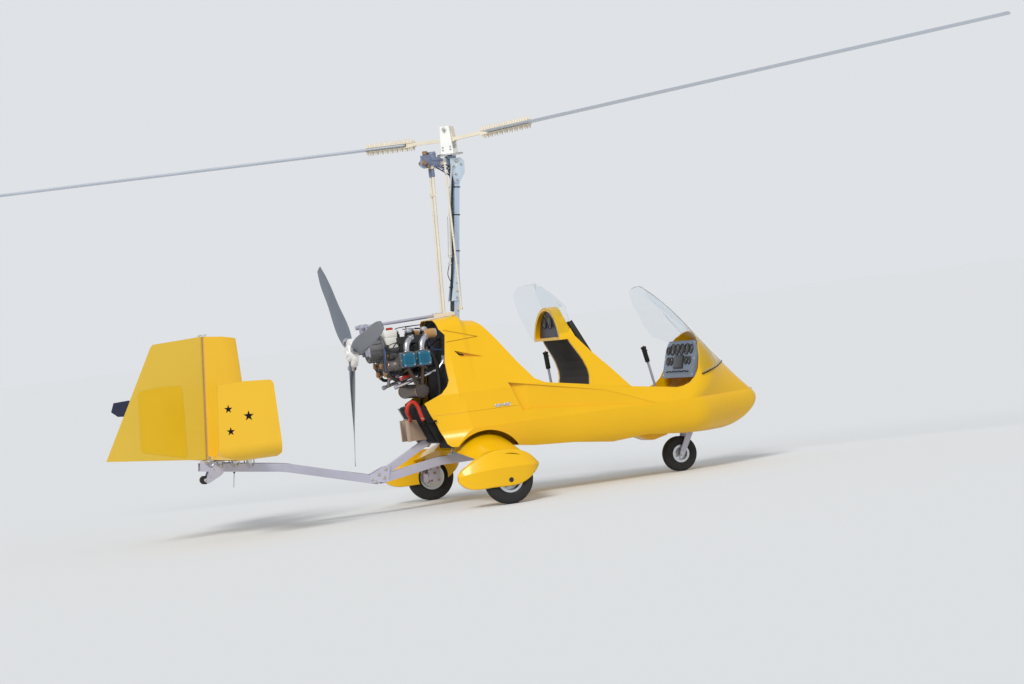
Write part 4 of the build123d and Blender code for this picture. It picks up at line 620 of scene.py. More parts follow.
bm = bmesh.new()
for i in range(10):
    for z, height in ((1014, 32), (1159, 34)):
        rounded_box(bm, (-685 + 28.5 * i, 96.5, z), (6, 8, height), 1.5)
for x in CYLINDER_X:
    for dz in (-44, -22, 0, 22, 44):
        rounded_box(bm, (x, 234, CRANK_Z + dz), (112, 34, 5), 1)
mirror(bm)
rounded_box(bm, (-550, 0, CRANK_Z), (308, 14, 204), 3)
turned(bm, ((72, 0), (80, 4), (80, 26), (70, 36), (34, 40)), (-400, 0, CRANK_Z), FORE, 40)
lathe(bm, ((86, -4), (98, -4), (100, 0), (100, 10), (97, 14), (86, 14)), (-702, 0, PROP_Z), AFT, 48)
for angle, z, y in circle(12, 86.5):
    rounded_box(bm, (-765, y, PROP_Z + z), (88, 5, 10), 1.5, turn(-angle, "X"))
lathe(bm, ((20, 0), (46, 0), (50, 5), (44, 18), (28, 24), (20, 24)), (-810, 0, PROP_Z), AFT, 40)
make("engine_ribs", bm, CASTING)

bm = bmesh.new()
for x in CYLINDER_X:
    for dx in (-36, 36):
        for dz in (-39, 39):
            bolt(bm, (x + dx, 299, CRANK_Z + dz), OUT, 4.5, 6)
    for dx in (-44, 44):
        bolt(bm, (x + dx, 255, CRANK_Z), OUT, 5)
mirror(bm)
for _, z, y in circle(10, 74, math.pi / 10):
    bolt(bm, (-810, y, PROP_Z + z), AFT, 5.5)
for i in range(7):
    bolt(bm, (-690 + 46 * i, 0, CRANK_Z - 102), DOWN, 5)
    if i > 2:
        bolt(bm, (-690 + 46 * i, 0, CRANK_Z + 102), UP, 5)
make("engine_bolts", bm, STEEL)

bm = bmesh.new()
for x in CYLINDER_X:
    rounded_box(bm, (x, 302, CRANK_Z), (52, 10, 58), 4)
    for dz in (-18, 0, 18):
        rounded_box(bm, (x, 307, CRANK_Z + dz), (40, 5, 6), 2)
mirror(bm)
make("rocker_ribs", bm, TEAL)

# Polished intake bends, carburettors with domed tops, and their filters
bm = bmesh.new()
for x in CYLINDER_X:
    hoop(bm, (x + 7, 227, 1144), (0.1, 0, 1), 26, 4)
    hoop(bm, (x + 50, 204, 1229), (0.9, -0.4, 0.5), 26, 4)
    lathe(bm, ((24, 0), (29, 2), (30, 12), (22, 26), (8, 31), (0, 31)), (x + 60, 168, 1276), UP)
turned(bm, ((30, 0), (33, 3), (33, 8), (10, 14)), (-352, 195, 1252), FORE, 28)
mirror(bm)
for x in CYLINDER_X:
    hoses(bm, 23.5, 20, ((x + 4, 228, 1128), (x + 10, 226, 1160), (x + 20, 220, 1195), (x + 45, 206, 1226),
                         (x + 78, 190, 1240)), step=6)
make("intake_bends", bm, POLISHED)

bm = bmesh.new()
for x in CYLINDER_X:
    turned(bm, ((24, 0), (28, 6), (28, 30), (24, 34)), (x + 60, 168, 1246), UP)
    rounded_box(bm, (x + 60, 150, 1252), (46, 50, 40), 5)
    lathe(bm, ((0, 0), (17, 0), (20, 6), (14, 20), (0, 22)), (x + 60, 168, 1200), DOWN, 20)
rounded_box(bm, (-530, 110, 1224), (120, 50, 46), 6)
mirror(bm)
make("carburettors", bm, BLACK)

pleats = [(28, 0), (30, 4)]
for i in range(14):
    pleats += [(34.5, 6 + i * 5), (30.5, 8.5 + i * 5)]
bm = bmesh.new()
turned(bm, pleats + [(33, 78)], (-430, 195, 1252), FORE, 36)
mirror(bm)
make("intake_filters", bm, TAN)

# Starter and generator beside the crankcase, with bronze end rings
bm = bmesh.new()
turned(bm, ((36, 0), (41, 4), (41, 50), (37, 56), (37, 96), (30, 102)), (-612, 128, 1052), AFT, 32)
rounded_box(bm, (-664, 104, 1052), (90, 30, 70), 6)
lathe(bm, ((0, 0), (20, 0), (22, 4), (22, 60), (0, 64)), (-620, 110, 1122), AFT)
mirror(bm)
make("starter_cases", bm, CASTING)

bm = bmesh.new()
hoop(bm, (-710, 128, 1052), FORE, 33, 4.5)
hoop(bm, (-664, 128, 1052), FORE, 41, 3)
turned(bm, ((20, 0), (20, 6), (12, 10)), (-714, 128, 1052), AFT)
lathe(bm, ((0, 0), (12, 0), (14, 3), (14, 20), (0, 22)), (-684, 110, 1122), AFT, 20)
lathe(bm, ((46, 0), (51.5, 0), (52.5, 4), (52.5, 14), (51.5, 18), (46, 18)), (-500, 195, 850), OUT, 40)
mirror(bm)
make("bronze_rings", bm, BRONZE)

# Silencer caps, and on each exhaust pipe a flange, a collar and two springs
bm = bmesh.new()
for side in SIDES:
    lathe(bm, ((50, 0), (50.5, 3), (46, 9), (30, 14), (0, 16)), (-500, side * 214, 850), (0, side, 0), 40)
    for x in CYLINDER_X:
        low = Vector((x + (-500 - x) * 0.62, side * 211, 926))
        axis = ((-500 - x) * 0.8, side * -27, -205)
        lathe(bm, ((14, 0), (18.5, 0), (18.5, 20), (14, 20)), low, axis, 20)
        lathe(bm, ((14, 0), (26, 0), (26, 7), (14, 7)), (x, side * 232, 1029), axis, 20)
        for dx in (-20, 20):
            coil(bm, low + Vector((dx, 0, 20)), low + Vector((dx, 0, -30)), 3.5, 0.9, 9)
make("exhaust_fittings", bm, DARK_STEEL)

# Coolant tank with its cap, straps and sight line
bm = bmesh.new()
rounded_box(bm, (-635, 0, 1218), (94, 108, 76), 7)
rounded_box(bm, (-635, 0, 1284), (96, 110, 52), 9)
rounded_box(bm, (-635, 0, 1256.5), (88, 102, 10), 2)
for y in (-30, 0, 30):
    rounded_box(bm, (-682, y, 1216), (4, 6, 60), 1.5)
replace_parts(make("coolant_tank_moulding", bm, WHITE), "coolant_tank")
bm = bmesh.new()
lathe(bm, ((0, 0), (20, 0), (24, 3), (24, 14), (21, 18), (0, 19)), (-628, -12, 1309), UP)
for angle, x, y in circle(12, 23.8):
    rounded_box(bm, (x - 628, y - 12, 1318), (3, 4, 11), 0.8, turn(angle, "Z"))
make("coolant_cap", bm, RED)

# Hoses, leads and clamps
bm = bmesh.new()
hose(bm, ((-572, -60, 640), (-600, -150, 668), (-640, -228, 712), (-634, -246, 758), (-594, -246, 781),
          (-562, -244, 745), (-546, -242, 690), (-530, -240, 640)), 14, 14)
hoses(bm, 12, 12, ((-640, 142, 948), (-620, 146, 955), (-585, 146, 966), (-548, 140, 975)))
make("red_hoses", bm, RED)

bm = bmesh.new()
for x in CYLINDER_X:
    for dx, drop in ((-30, 0), (30, 10)):
        hoses(bm, 3.6, 7, ((x + dx, 238, 1178), (x + dx, 232, 1196), (x + dx * 0.4, 180, 1200),
                           (x * 0.5 - 270, 110 + drop, 1184)))
hoses(bm, 12, 12, ((-640, 142, 948), (-675, 140, 955), (-700, 120, 990), (-690, 100, 1030)),
      ((-552, 140, 975), (-500, 135, 985), (-440, 110, 995), (-410, 80, 1020)))
hoses(bm, 10, 12, ((-655, 30, 1200), (-700, 110, 1190), (-690, 190, 1165), (-630, 205, 1140)))
hoses(bm, 13, 12, ((-430, 236, 1120), (-400, 240, 1090), (-372, 225, 980), (-375, 215, 800), (-430, 200, 680),
                   (-478, 190, 650)))
hoses(bm, 5.2, 8, ((-548, 168, 1206), (-520, 130, 1190), (-440, 100, 1200), (-370, 70, 1235),
                   (-292, 70, 1240)))
hoses(bm, 6.2, 8, ((-292, 120, 1200), (-330, 130, 1190), (-380, 120, 1150), (-402, 50, 1120)))
hoses(bm, 4.8, 8, ((-660, 128, 1094), (-640, 120, 1130), (-560, 104, 1190), (-420, 100, 1212),
                   (-292, 105, 1260)))
hoses(bm, 3.4, 7, ((-292, 32, 1300), (-360, 40, 1292), (-450, 110, 1300), (-478, 150, 1303)),
      ((-292, 36, 1310), (-380, 30, 1320), (-520, 90, 1318), (-545, 160, 1303)))
make("black_hoses", bm, CABLE)

bm = bmesh.new()
hoses(bm, 5.5, 8,
      ((-485, 100, 1190), (-450, 120, 1216), (-400, 150, 1200), (-360, 140, 1140), (-292, 130, 1120)),
      ((-700, 60, 1210), (-715, 130, 1150), (-730, 135, 1060), (-700, 120, 1000), (-640, 90, 985)))
make("blue_hoses", bm, BLUE)

bm = bmesh.new()
for x in CYLINDER_X:
    for dx in (-30, 30):
        turned(bm, ((7, 0), (9, 4), (9, 30), (6, 40)), (x + dx, 238, 1138), UP, 12)
mirror(bm)
make("plug_caps", bm, GRIP)

bm = bmesh.new()
for spot, axis, radius in (((-632, 143, 950), (1, 0, 0.2), 13.5), ((-556, 142, 973), (1, 0, 0.2), 13.5),
                           ((-428, 236, 1118), (0.6, 0, -0.8), 14.5), ((-470, 190, 656), (1, 0, 0.6), 14.5)):
    hoop(bm, spot, axis, radius, 2.2, 24, 6)
    turned(bm, ((3, 0), (3, 10)), (spot[0], spot[1] + radius, spot[2]), (0, 1, 0.3), 8)
mirror(bm)
for spot, axis in (((-574, -66, 643), (-0.3, -0.9, 0.3)), ((-534, -240.5, 654), (0.3, 0, 1))):
    hoop(bm, spot, axis, 15, 2.2, 24, 6)
make("hose_clamps", bm, STEEL)

# Radiator: header tanks at the sides and louvres across the rear; cooler fins
RADIATOR_TOP = Vector((-538, 0, 736))
RADIATOR_LOW = Vector((-418, 0, 470))
LOUVRES = 34
outward = Vector((-0.30, 0, -0.12)).normalized()
bm = bmesh.new()
for i in range(LOUVRES):
    spot = RADIATOR_TOP.lerp(RADIATOR_LOW, (i + 0.5) / LOUVRES) + outward * (18 if i > 14 else 16)
    rounded_box(bm, spot + Vector((-10, 0, 0)), (24, 444, 1.6), 0.5, turn(0.5))
make("radiator_louvres", bm, LOUVRE)
bm = bmesh.new()
bar(bm, RADIATOR_TOP + Vector((12, 236, 0)), RADIATOR_LOW + Vector((0, 236, 0)), (26, 52), 8)
mirror(bm)
make("radiator_tanks", bm, FINS)
bm = bmesh.new()
bar(bm, (-598, 70, 494), (-598, 70, 648), (10, 30), 3)
turned(bm, ((17, 0), (17, 10), (13, 14)), (-572, 56, 643), UP, 6)
mirror(bm)
for i in range(20):
    z = 500 + i * 7.5
    front = -447 - max(0, z - 495) * 0.573 - (0 if z < 612 else 6)
    rounded_box(bm, ((front - 609) / 2, 0, z), (front + 609, 136, 2.2), 0.6)
make("cooler_fins", bm, COOLER)

# Mount fittings: sockets at the firewall, pads on the tubes, end plugs
bm = bmesh.new()
for spot, axis in (((-293, 150, 1044), (-0.5, 0, -0.6)), ((-838, 60, 1354), AFT),
                   ((-668, 150, 900.5), (-1, 0, -0.25))):
    turned(bm, ((15, -6), (16, 0), (16, 16), (12, 20)), spot, axis, 20)
rounded_box(bm, (-295.5, 150, 1050), (7, 50, 64), 2)
for z in (1150, 1250, 1360):
    bolt(bm, (-824, 60, z), AFT, 6.5)
for x, z in ((-640, 911), (-430, 965)):
    hoop(bm, (x, 146, z), (0, -0.9, 0.5), 12.5, 3, 20, 6)
bar(bm, (-817, 44, 1140), (-817, 44, 1372), (3, 40))
mirror(bm)
make("mount_fittings", bm, TUBE)


# Propeller: hub bolts and root clamps

bm = bmesh.new()
for _, z, y in circle(6, 48, 0.2):
    bolt(bm, (-958, y, PROP_Z + z), AFT)
for _, z, y in circle(12, 98):
    bolt(bm, (-934, y, PROP_Z + z), AFT, 4.5, 6)
make("hub_bolts", bm, STEEL, body="propeller")
bm = bmesh.new()
for _, z, y in circle(3, 1, math.radians(42)):
    lathe(bm, ((20, 0), (30, 0), (33, 4), (33, 22), (29, 28), (20, 28)), (-927, 100 * y, PROP_Z + 100 * z),
          (0, y, z), 28)
make("root_clamps", bm, POLISHED, body="propeller")


# Bright sleeves on the lower mount tubes, and small fittings between engine and mount

bm = bmesh.new()
hoses(bm, 12.8, 18, ((-668, 150, 900.5), (-520, 150, 938.6), (-372, 150, 976.8), (-340, 150, 990),
                     (-320, 150, 1012), (-300, 150, 1036)))
make("mount_sleeves", bm, CHROME)

bm = bmesh.new()
for x, y, z, size in ((-720, 92, 1000, 30), (-742, 80, 1060, 26), (-585, 112, 1004, 24),
                      (-430, 108, 1016, 26), (-405, 104, 1150, 30), (-560, 98, 1196, 22)):
    rounded_box(bm, (x, y, z), (size, 26, size * 1.3), 4, turn(0.3, "X"))
    turned(bm, ((size * 0.3, 0), (size * 0.34, 2), (size * 0.34, 14), (size * 0.2, 18)),
           (x, y + 12, z), OUT, 18)
turned(bm, ((20, 0), (22, 3), (22, 50), (15, 56)), (-395, 112, 1190), UP)
mirror(bm)
hoses(bm, 8, 10, ((-700, 60, 992), (-712, 100, 975), (-690, 128, 960)))
make("engine_fittings", bm, BRONZE)

bm = bmesh.new()
for i in range(7):
    c, s = math.cos(0.5 + i * 0.7), math.sin(0.5 + i * 0.7)
    hoses(bm, 3.2 + 0.6 * (i % 3), 7, (
        (-700 + 20 * i, 94 + 4 * (i % 3), 1000 + 12 * i), (-680 + 30 * i, 150 + 6 * s, 985 + 10 * c),
        (-600 + 30 * i, 128 + 8 * c, 985 + 6 * i), (-520 + 20 * i, 96, 1000 + 10 * (i % 4))))
for i in range(5):
    hoses(bm, 3 + 0.8 * (i % 2), 7, (
        (-690 + 50 * i, 90, 1180), (-670 + 50 * i, 120, 1205 + 6 * i), (-600 + 40 * i, 130 + 5 * i, 1215),
        (-480 + 20 * i, 100, 1195), (-400 + 10 * i, 60, 1150)))
make("engine_leads", bm, CABLE)


# Cockpit: seats with channelled pads, harnesses, instruments and stick grips

SEATS = {"front": ((665, 1200), (985, 560), (1060, 500), (1350, 520)),
         "rear": ((-15, 1180), (175, 590), (250, 530), (500, 545))}
SHELL_EDGE = [(215, 0), (215, 36), (209, 38), (203, 36), (202, 9)]
PAD_REACH = 199
PAD_COLUMNS = 30


def seat_line(points, step=8):
    """Side view line through points, with its corners rounded off, evenly spaced."""
    line = []
    for (x0, z0), (x1, z1) in zip(points, points[1:]):
        count = max(1, round(math.hypot(x1 - x0, z1 - z0) / step))
        line += [Vector((x0 + (x1 - x0) * i / count, 0, z0 + (z1 - z0) * i / count)) for i in range(count)]
    line.append(Vector((points[-1][0], 0, points[-1][1])))
    for _ in range(14):
        line = [line[0]] + [(a + 2 * b + c) / 4 for a, b, c in zip(line, line[1:], line[2:])] + [line[-1]]
    return line


def seat_frame(line, i):
    """Point i of a seat line, and the direction away from the shell there."""
    along = (line[min(i + 1, len(line) - 1)] - line[max(i - 1, 0)]).normalized()
    return line[i], Vector((-along.z, 0, along.x))


def seat_pad(name, line, first, last, channels, low=10, high=40):
    """Makes a crowned pad between two places of a seat line, with sewn channels across it."""
    bm = bmesh.new()
    rows = last - first
    outer = []
    inner = []
    for row in range(rows + 1):
        spot, away = seat_frame(line, first + row)
        fade = min(1.0, min(row, rows - row) / 5)
        rise = math.sqrt(max(0.0, 1 - (1 - fade) ** 2))
        pull = PAD_REACH - 10 * math.sin(math.pi * row / rows) - 12 * (1 - fade) ** 2
        part = row / rows * channels % 1.0
        groove = 1 - 0.34 * math.exp(-14 * min(part, 1 - part))
        top = []
        bottom = []
        for column in range(PAD_COLUMNS + 1):
            across = -1 + 2 * column / PAD_COLUMNS
            edge = math.sqrt(max(0.0, 1 - abs(across) ** 8))
            bolster = 10 * math.exp(-((abs(across) - 0.82) / 0.10) ** 2)
            height = low + rise * ((high - low) * edge * groove + bolster + 6 * (1 - across * across))
            top.append(bm.verts.new(spot + away * height + Vector((0, across * pull, 0))))
            bottom.append(bm.verts.new(spot + away * low * 0.9 + Vector((0, across * pull * 0.985, 0))))
        outer.append(top)
        inner.append(bottom)
    sheets = [outer, inner, (outer[0], inner[0]), (outer[-1], inner[-1])]
    sheets += [([row[column] for row in outer], [row[column] for row in inner]) for column in (0, -1)]
    for sheet in sheets:
        join(bm, sheet, loop=False)
    return make(name, bm, VINYL, smooth=60)


def webbing(bm, line, first, last, height, y_start, y_end, width=45, thick=2.2):
    """Adds a belt that lies over a seat's pad from one place of its line to another."""
    half = width / 2
    rings = []
    for i in range(first, last + 1):
        spot, away = seat_frame(line, i)
        y = y_start + (y_end - y_start) * (i - first) / (last - first)
        rings.append([bm.verts.new(spot + away * (height + lift) + Vector((0, y + dy, 0)))
                      for dy, lift in ((-half, 0), (half, 0), (half, thick), (-half, thick))])
    join(bm, rings, ends=True)


shells = bmesh.new()
threads = bmesh.new()
belts = bmesh.new()
buckles = bmesh.new()
for name, points in SEATS.items():
    line = seat_line(points)
    count = len(line) - 1
    fold_x, fold_z = points[1]
    corner = min(range(len(line)), key=lambda i: abs(line[i].x - fold_x - 30) + abs(line[i].z - fold_z))
    seat_pad(name + "_seat_back_pad", line, 3, corner - 3, 6)
    seat_pad(name + "_seat_base_pad", line, corner + 4, count - 3, 4)
    rings = []
    for i in range(count + 1):
        spot, away = seat_frame(line, i)
        rings.append([shells.verts.new(spot + away * lift + Vector((0, y, 0)))
                      for y, lift in SHELL_EDGE + [(-y, lift) for y, lift in SHELL_EDGE[::-1]]])
    join(shells, rings, ends=True)
    for side in SIDES:
        for first, last in ((5, corner - 5), (corner + 6, count - 5)):
            places = [seat_frame(line, i) for i in range(first, last, 2)]
            sweep(threads, [spot + away * 39 + Vector((0, side * 178, 0)) for spot, away in places], 1.3, 6)
        webbing(belts, line, 2, corner - 10, 47.5, side * 85, side * 60)
        webbing(belts, line, corner - 4, corner + 12, 50, side * 185, side * 120, 40)
        spot, away = seat_frame(line, corner + 12)
        rounded_box(buckles, spot + away * 54 + Vector((0, side * 115, 0)), (30, 44, 8), 2, basis(away))
    spot, away = seat_frame(line, corner + 16)
    turned(buckles, ((26, 0), (28, 3), (28, 14), (18, 18)), spot + away * 47, away, 28)
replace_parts(make("seat_shells", shells, BLACK, smooth=40), "seats")
make("seat_threads", threads, STITCH)
make("harness_belts", belts, WEBBING)
make("harness_buckles", buckles, STEEL)

# Instruments: bezels, faces, ticks and needles on both panels
PANEL_FOOT = Vector((1545, 0, 690))
PANEL_RISE = Vector((76, 0, 266)).normalized()
PANEL_FACING = Vector((-266, 0, 76)).normalized()
bezels = bmesh.new()
faces = bmesh.new()
marks = bmesh.new()


def on_panel(y, rise, lift=0):
    """Place on the front panel at y, rise up along it, and lift above its face."""
    return PANEL_FOOT + PANEL_RISE * rise + PANEL_FACING * lift + Vector((0, y, 0))


def dial(centre, facing, radius, needle):
    """Adds one round instrument, whose needle stands at an angle."""
    place = basis(facing)
    lathe(bezels, ((radius + 5, 0), (radius + 6, 4), (radius + 3, 8), (radius, 8), (radius - 1, 2)),
          centre, facing, 36)
    lathe(faces, ((0, 2.5), (radius, 2.5), (radius, 0.5)), centre, facing, 36)
    for tick, (angle, x, y) in enumerate(circle(24, radius)):
        long = 0.09 if tick % 4 else 0.16
        mid = 0.9 - long / 2
        rounded_box(marks, centre + place @ Vector((mid * x, mid * y, 3)), (radius * long, 1.2, 0.5), 0.1,
                    place @ turn(angle, "Z"))
    reach = radius * 0.28
    rounded_box(marks, centre + place @ Vector((reach * math.cos(needle), reach * math.sin(needle), 4.2)),
                (radius * 0.85, 2, 0.8), 0.2, place @ turn(needle, "Z"))
    turned(bezels, ((4, 0), (3, 3)), centre + place @ Vector((0, 0, 3)), facing, 14)


for y, rise, radius, needle in (
        (-210, 212, 30, 0.8), (-125, 212, 38, 2.2), (-30, 212, 38, 3.9), (65, 212, 38, 1.1),
        (155, 212, 38, 5), (235, 205, 26, 2.9), (-200, 128, 26, 4.4), (-135, 128, 26, 0.3),
        (150, 125, 26, 1.7), (215, 125, 26, 3.3)):
    dial(on_panel(y, rise), PANEL_FACING, radius, needle)
for y, radius, needle in ((-110, 36, 0.9), (0, 42, 2.6), (110, 36, 4.1)):
    dial(Vector((602, y, 1215)), AFT, radius, needle)
panel_turn = turn(math.atan2(76, 266))
rounded_box(bezels, on_panel(5, 118, 4), (10, 180, 98), 4, panel_turn)
rounded_box(faces, on_panel(5, 118, 8.5), (2, 160, 80), 0.8, panel_turn)
for i in range(9):
    lathe(bezels, ((0, 0), (8, 0), (8, 3), (4, 4), (4, 5), (2.8, 18), (0, 20)), on_panel(i * 50 - 200, 45),
          PANEL_FACING + Vector((0, 0, 0.3 if i % 2 else -0.3)), 14)
for side in SIDES:
    for y, rise in ((285, 20), (285, 140), (256.5, 260)):
        lathe(marks, ((0, 0), (5, 0), (4, 1.8), (0, 2)), on_panel(side * y, rise), PANEL_FACING, 14)
make("instrument_bezels", bezels, BLACK)
make("instrument_faces", faces, DIAL)
make("instrument_marks", marks, MARK)

# Stick grips: finger ribs, a button and a switch, and a rubber boot round each foot
bellows = [(46, 0), (48, 4)]
for i in range(6):
    bellows += [(44 - i * 6, 10 + i * 11), (38 - i * 6, 15.5 + i * 11)]
bellows += [(8.5, 78), (8.5, 82)]
grips = bmesh.new()
buttons = bmesh.new()
boots = bmesh.new()
for foot, top, grip_z in STICKS:
    low = Vector((foot[0], 0, foot[1]))
    high = Vector((top[0], 0, top[1]))
    axis = (high - low).normalized()
    start = low + axis * ((grip_z - foot[1]) / axis.z)
    for i in range(8):
        hoop(grips, start + axis * (10 + i * 11.5), axis, 16.5, 2.6, 20, 6)
    lathe(grips, ((17, -6), (20.5, -4), (21.5, 4), (18, 10), (0, 13)), high, axis)
    turned(buttons, ((5.5, 0), (5.5, 5), (4, 6.5)), high + axis * 11 + Vector((4, 5, 0)), axis, 14)
    lathe(buttons, ((0, 0), (5, 0), (5, 6), (0, 8)), high - axis * 20 + Vector((17, 0, 0)), (1, 0, 0.2), 14)
    lathe(boots, bellows, low + axis * 4, axis, 28)
make("grip_ribs", grips, GRIP)
make("grip_buttons", buttons, RED)
make("stick_boots", boots, RUBBER)


# Screens: a dark seal where the front one sits, and the screws above it

front_skin = skin("front_windscreen", "nose_deck", "fuselage_tub")
screen_skin = skin("front_windscreen")
seals = bmesh.new()
screws = bmesh.new()
for side in SIDES:
    sweep(seals, drape(front_skin, ((1607, 703), (1780, 745), (1888, 775)), side, 0.6), 4.5)
    for i in range(9):
        t = (i + 0.5) / 9
        hit = on_skin(screen_skin, 1625 + t * 240, 722 + t * 62, side)
        if hit:
            lathe(screws, ((0, 0), (6, 0), (5, 2), (0, 2.4)), *hit, 14)
make("screen_seal", seals, GASKET)


# Body: a joint line, painted shade along the pylon's creases, the scoop's painted shadow, the door latch, the
# probe on the nose and fittings on the legs

tub_skin = skin("fuselage_tub", "rear_fairing", "headrest_hood", "nose_deck", "gear_legs")
scoop_shade_strips = bmesh.new()
fasteners = bmesh.new()
joint_and_crease_shade_strips = bmesh.new()
for side in SIDES:
    # A faint dark line along the tub's panel joint, and painted shade along the creases of the pylon
    strip(joint_and_crease_shade_strips, tub_skin, ((-455, 660.5), (170, 660.5)), side, 1.8)
    strip(joint_and_crease_shade_strips, tub_skin, ((-293, 1261), (-47, 1187), (-290, 1174)), side, 6)
    # Painted shade: dark strips on the floor of the scoop, where shade falls towards its aft end
    strip(scoop_shade_strips, tub_skin, ((-238, 1098), (-196, 1072)), side, 16)
    strip(scoop_shade_strips, tub_skin, ((-222, 1082), (-168, 1066)), side, 12)
    for x in (6, 78):
        hit = on_skin(tub_skin, x, 678, side)
        if hit:
            for dx in (-12, 12):
                lathe(fasteners, ((13, -1), (13, 1.5), (11, 3), (8, 1.5), (0, 1.5)),
                      hit[0] + Vector((dx, 0, 0)), hit[1])
    hit = on_skin(tub_skin, 42, 678, side)
    if hit:
        rounded_box(fasteners, hit[0] + hit[1] * 2, (80, 5, 12), 2.2)
    for x, z in ((-190, 378), (-235, 358)):
        turned(fasteners, ((8, 0), (8, 4), (5, 7)), (x, side * 838, z), UP, 18)
hose(fasteners, ((2085, 0, 540), (2110, 0, 540), (2128, 0, 540)), 6, 12)
make("body_scoop_shade", scoop_shade_strips, SCOOP_SHADE, smooth=0)
make("body_joint_and_crease_shade", joint_and_crease_shade_strips, JOINT_AND_CREASE_SHADE, smooth=0)
make("body_fasteners", fasteners, STEEL)
make("screen_screws", screws, STEEL)

# A plug in a ring on the outer face of each wheel pant
pant_skin = skin("wheel_pants")
plugs = bmesh.new()
for side in SIDES:
    hit = on_skin(pant_skin, -178, 171, side)
    if hit:
        lathe(plugs, ((15, -1), (17.5, 1), (17.5, 2), (14, 2), (13, -4)), *hit, 28)
        turned(plugs, ((13, -2), (13, 0.5)), *hit, 28)
make("pant_plugs", plugs, GASKET)


# Wheels: ribbed tyres, wheel bolts, valves and brake discs


def ribbed_tyre(name, centre, diameter, width, rim_diameter, body, node):
    """Makes a tyre with three grooves round its tread and lines on its walls, in place of a plain one."""
    outer = diameter / 2
    bead = rim_diameter / 2 - 10
    wall = [(bead + rise, y * width) for rise, y in ((0, 0.38), (6, 0.405), (11, 0.4), (16, 0.43))]
    wall += [(bead + rise * (outer - bead), y * width) for rise, y in (
        (0.3, 0.492), (0.36, 0.498), (0.41, 0.5), (0.44, 0.4925), (0.47, 0.5), (0.7, 0.4925), (0.79, 0.4775),
        (0.87, 0.44), (0.94, 0.38), (0.982, 0.3))]
    tread = []
    for y in (0.215 * width, 0, -0.215 * width):
        tread += [(outer, y + 3.6), (outer - 4.2, y + 2.2), (outer - 4.2, y - 2.2), (outer, y - 3.6)]
    profile = wall + tread + [(radius, -y) for radius, y in wall[::-1]]
    profile += [(bead, -0.3 * width), (bead, 0.3 * width)]
    bm = bmesh.new()
    lathe(bm, profile, centre, OUT, 96, closed=True)
    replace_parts(make(name, bm, RUBBER, body, 40), node)


def on_rim(tree, centre, x, z, face):
    """Place where a rim is met from its side, x and z away from its centre, or None."""
    return tree.ray_cast(centre + Vector((x, face * 300, z)), Vector((0, -face, 0)))[0]


for name, side in (("left", 1), ("right", -1)):
    centre = Vector((-172, side * 900, 175))
    body = "main_wheel_" + name
    ribbed_tyre("ribbed_tyre_" + name, centre, 350, 100, 190, body, "main_tyre_" + name)
    rim_skin = skin("main_rim_" + name)
    bm = bmesh.new()
    for face in SIDES:
        for radius, size in ((49, 6), (30, 4.5)):
            for _, x, z in circle(6, radius, math.pi / 6):
                spot = on_rim(rim_skin, centre, x, z, face)
                if spot:
                    bolt(bm, spot, (0, face, 0), size, size * 0.9)
    spot = on_rim(rim_skin, centre, 66, 0, side)
    if spot:
        turned(bm, ((4, 0), (4, 14), (3, 22)), spot, (0, side, 0), 12)
    lathe(bm, ((12, 0), (20, 0), (21, 3), (18, 10), (12, 10)), centre + Vector((0, side * 42.5, 0)),
          (0, side, 0), 28)
    make("wheel_bolts_" + name, bm, STEEL, body=body)
    bm = bmesh.new()
    lathe(bm, ((30, 0), (78, 0), (79, 1), (79, 4), (78, 5), (30, 5)), centre - Vector((0, side * 58.5, 0)),
          (0, -side, 0), 56)
    for i, (_, x, z) in enumerate(circle(24, 1)):
        reach = 52 + 16 * (i % 2)
        hoop(bm, centre + Vector((reach * x, side * -63.6, reach * z)), OUT, 4, 0.6, 12, 5)
    make("brake_disc_" + name, bm, STEEL, body=body)

nose_centre = Vector((1488, 0, 130))
ribbed_tyre("ribbed_nose_tyre", nose_centre, 260, 80, 130, "nose_wheel", "nose_tyre")
nose_skin = skin("nose_rim")
bm = bmesh.new()
for face in SIDES:
    for _, x, z in circle(6, 31.7, math.pi / 6):
        spot = on_rim(nose_skin, nose_centre, x, z, face)
        if spot:
            bolt(bm, spot, (0, face, 0), 4.5, 4)
make("nose_wheel_bolts", bm, STEEL, body="nose_wheel")
bm = bmesh.new()
bolt(bm, (1488, 59.5, 130), OUT, 10, 8)
for x in (1542, 1578):
    for z in (306, 280):
        bolt(bm, (x, 59.7, z), OUT, 5)
mirror(bm)
make("fork_bolts", bm, STEEL, body="nose_fork_body")
bm = bmesh.new()
for x, z in ((-145, 150), (-200, 150), (-145, 240), (-200, 240), (-172, 205)):
    bolt(bm, (x, 782.2, z), (0, -1, 0), 6.5)
mirror(bm)
hoses(bm, 4, 8, ((-250, 786, 190), (-262, 790, 230), (-235, 800, 285), (-200, 800, 330)))
make("axle_bolts", bm, BRONZE)


# Tail: stars on the tip plates, the tip plate's shadow painted in deeper yellow on the rudder, bolts, cable
# and aerial


def boom_z(x):
    """Height of the boom's centre at x, where the stabiliser sits on it."""
    return 432 + 86 * (x + 1520) / -627


stab_skin = skin("stabiliser")
stars = bmesh.new()
for side in SIDES:
    for x, z, size in ((-2092, 917, 31), (-1955, 854, 38), (-2094, 763, 31)):
        hit = on_skin(stab_skin, x, z, side)
        if not hit:
            continue
        spot = hit[0] + hit[1] * 0.8
        tips = [stars.verts.new(spot + Vector((x, 0, z)) * (size * 0.4 if i % 2 else size))
                for i, (_, x, z) in enumerate(circle(10, 1, math.pi / 2 - 0.06))]
        middle = stars.verts.new(spot)
        for i in range(10):
            stars.faces.new((middle, tips[i], tips[(i + 1) % 10]))
make("tip_stars", stars, STAR, smooth=0)
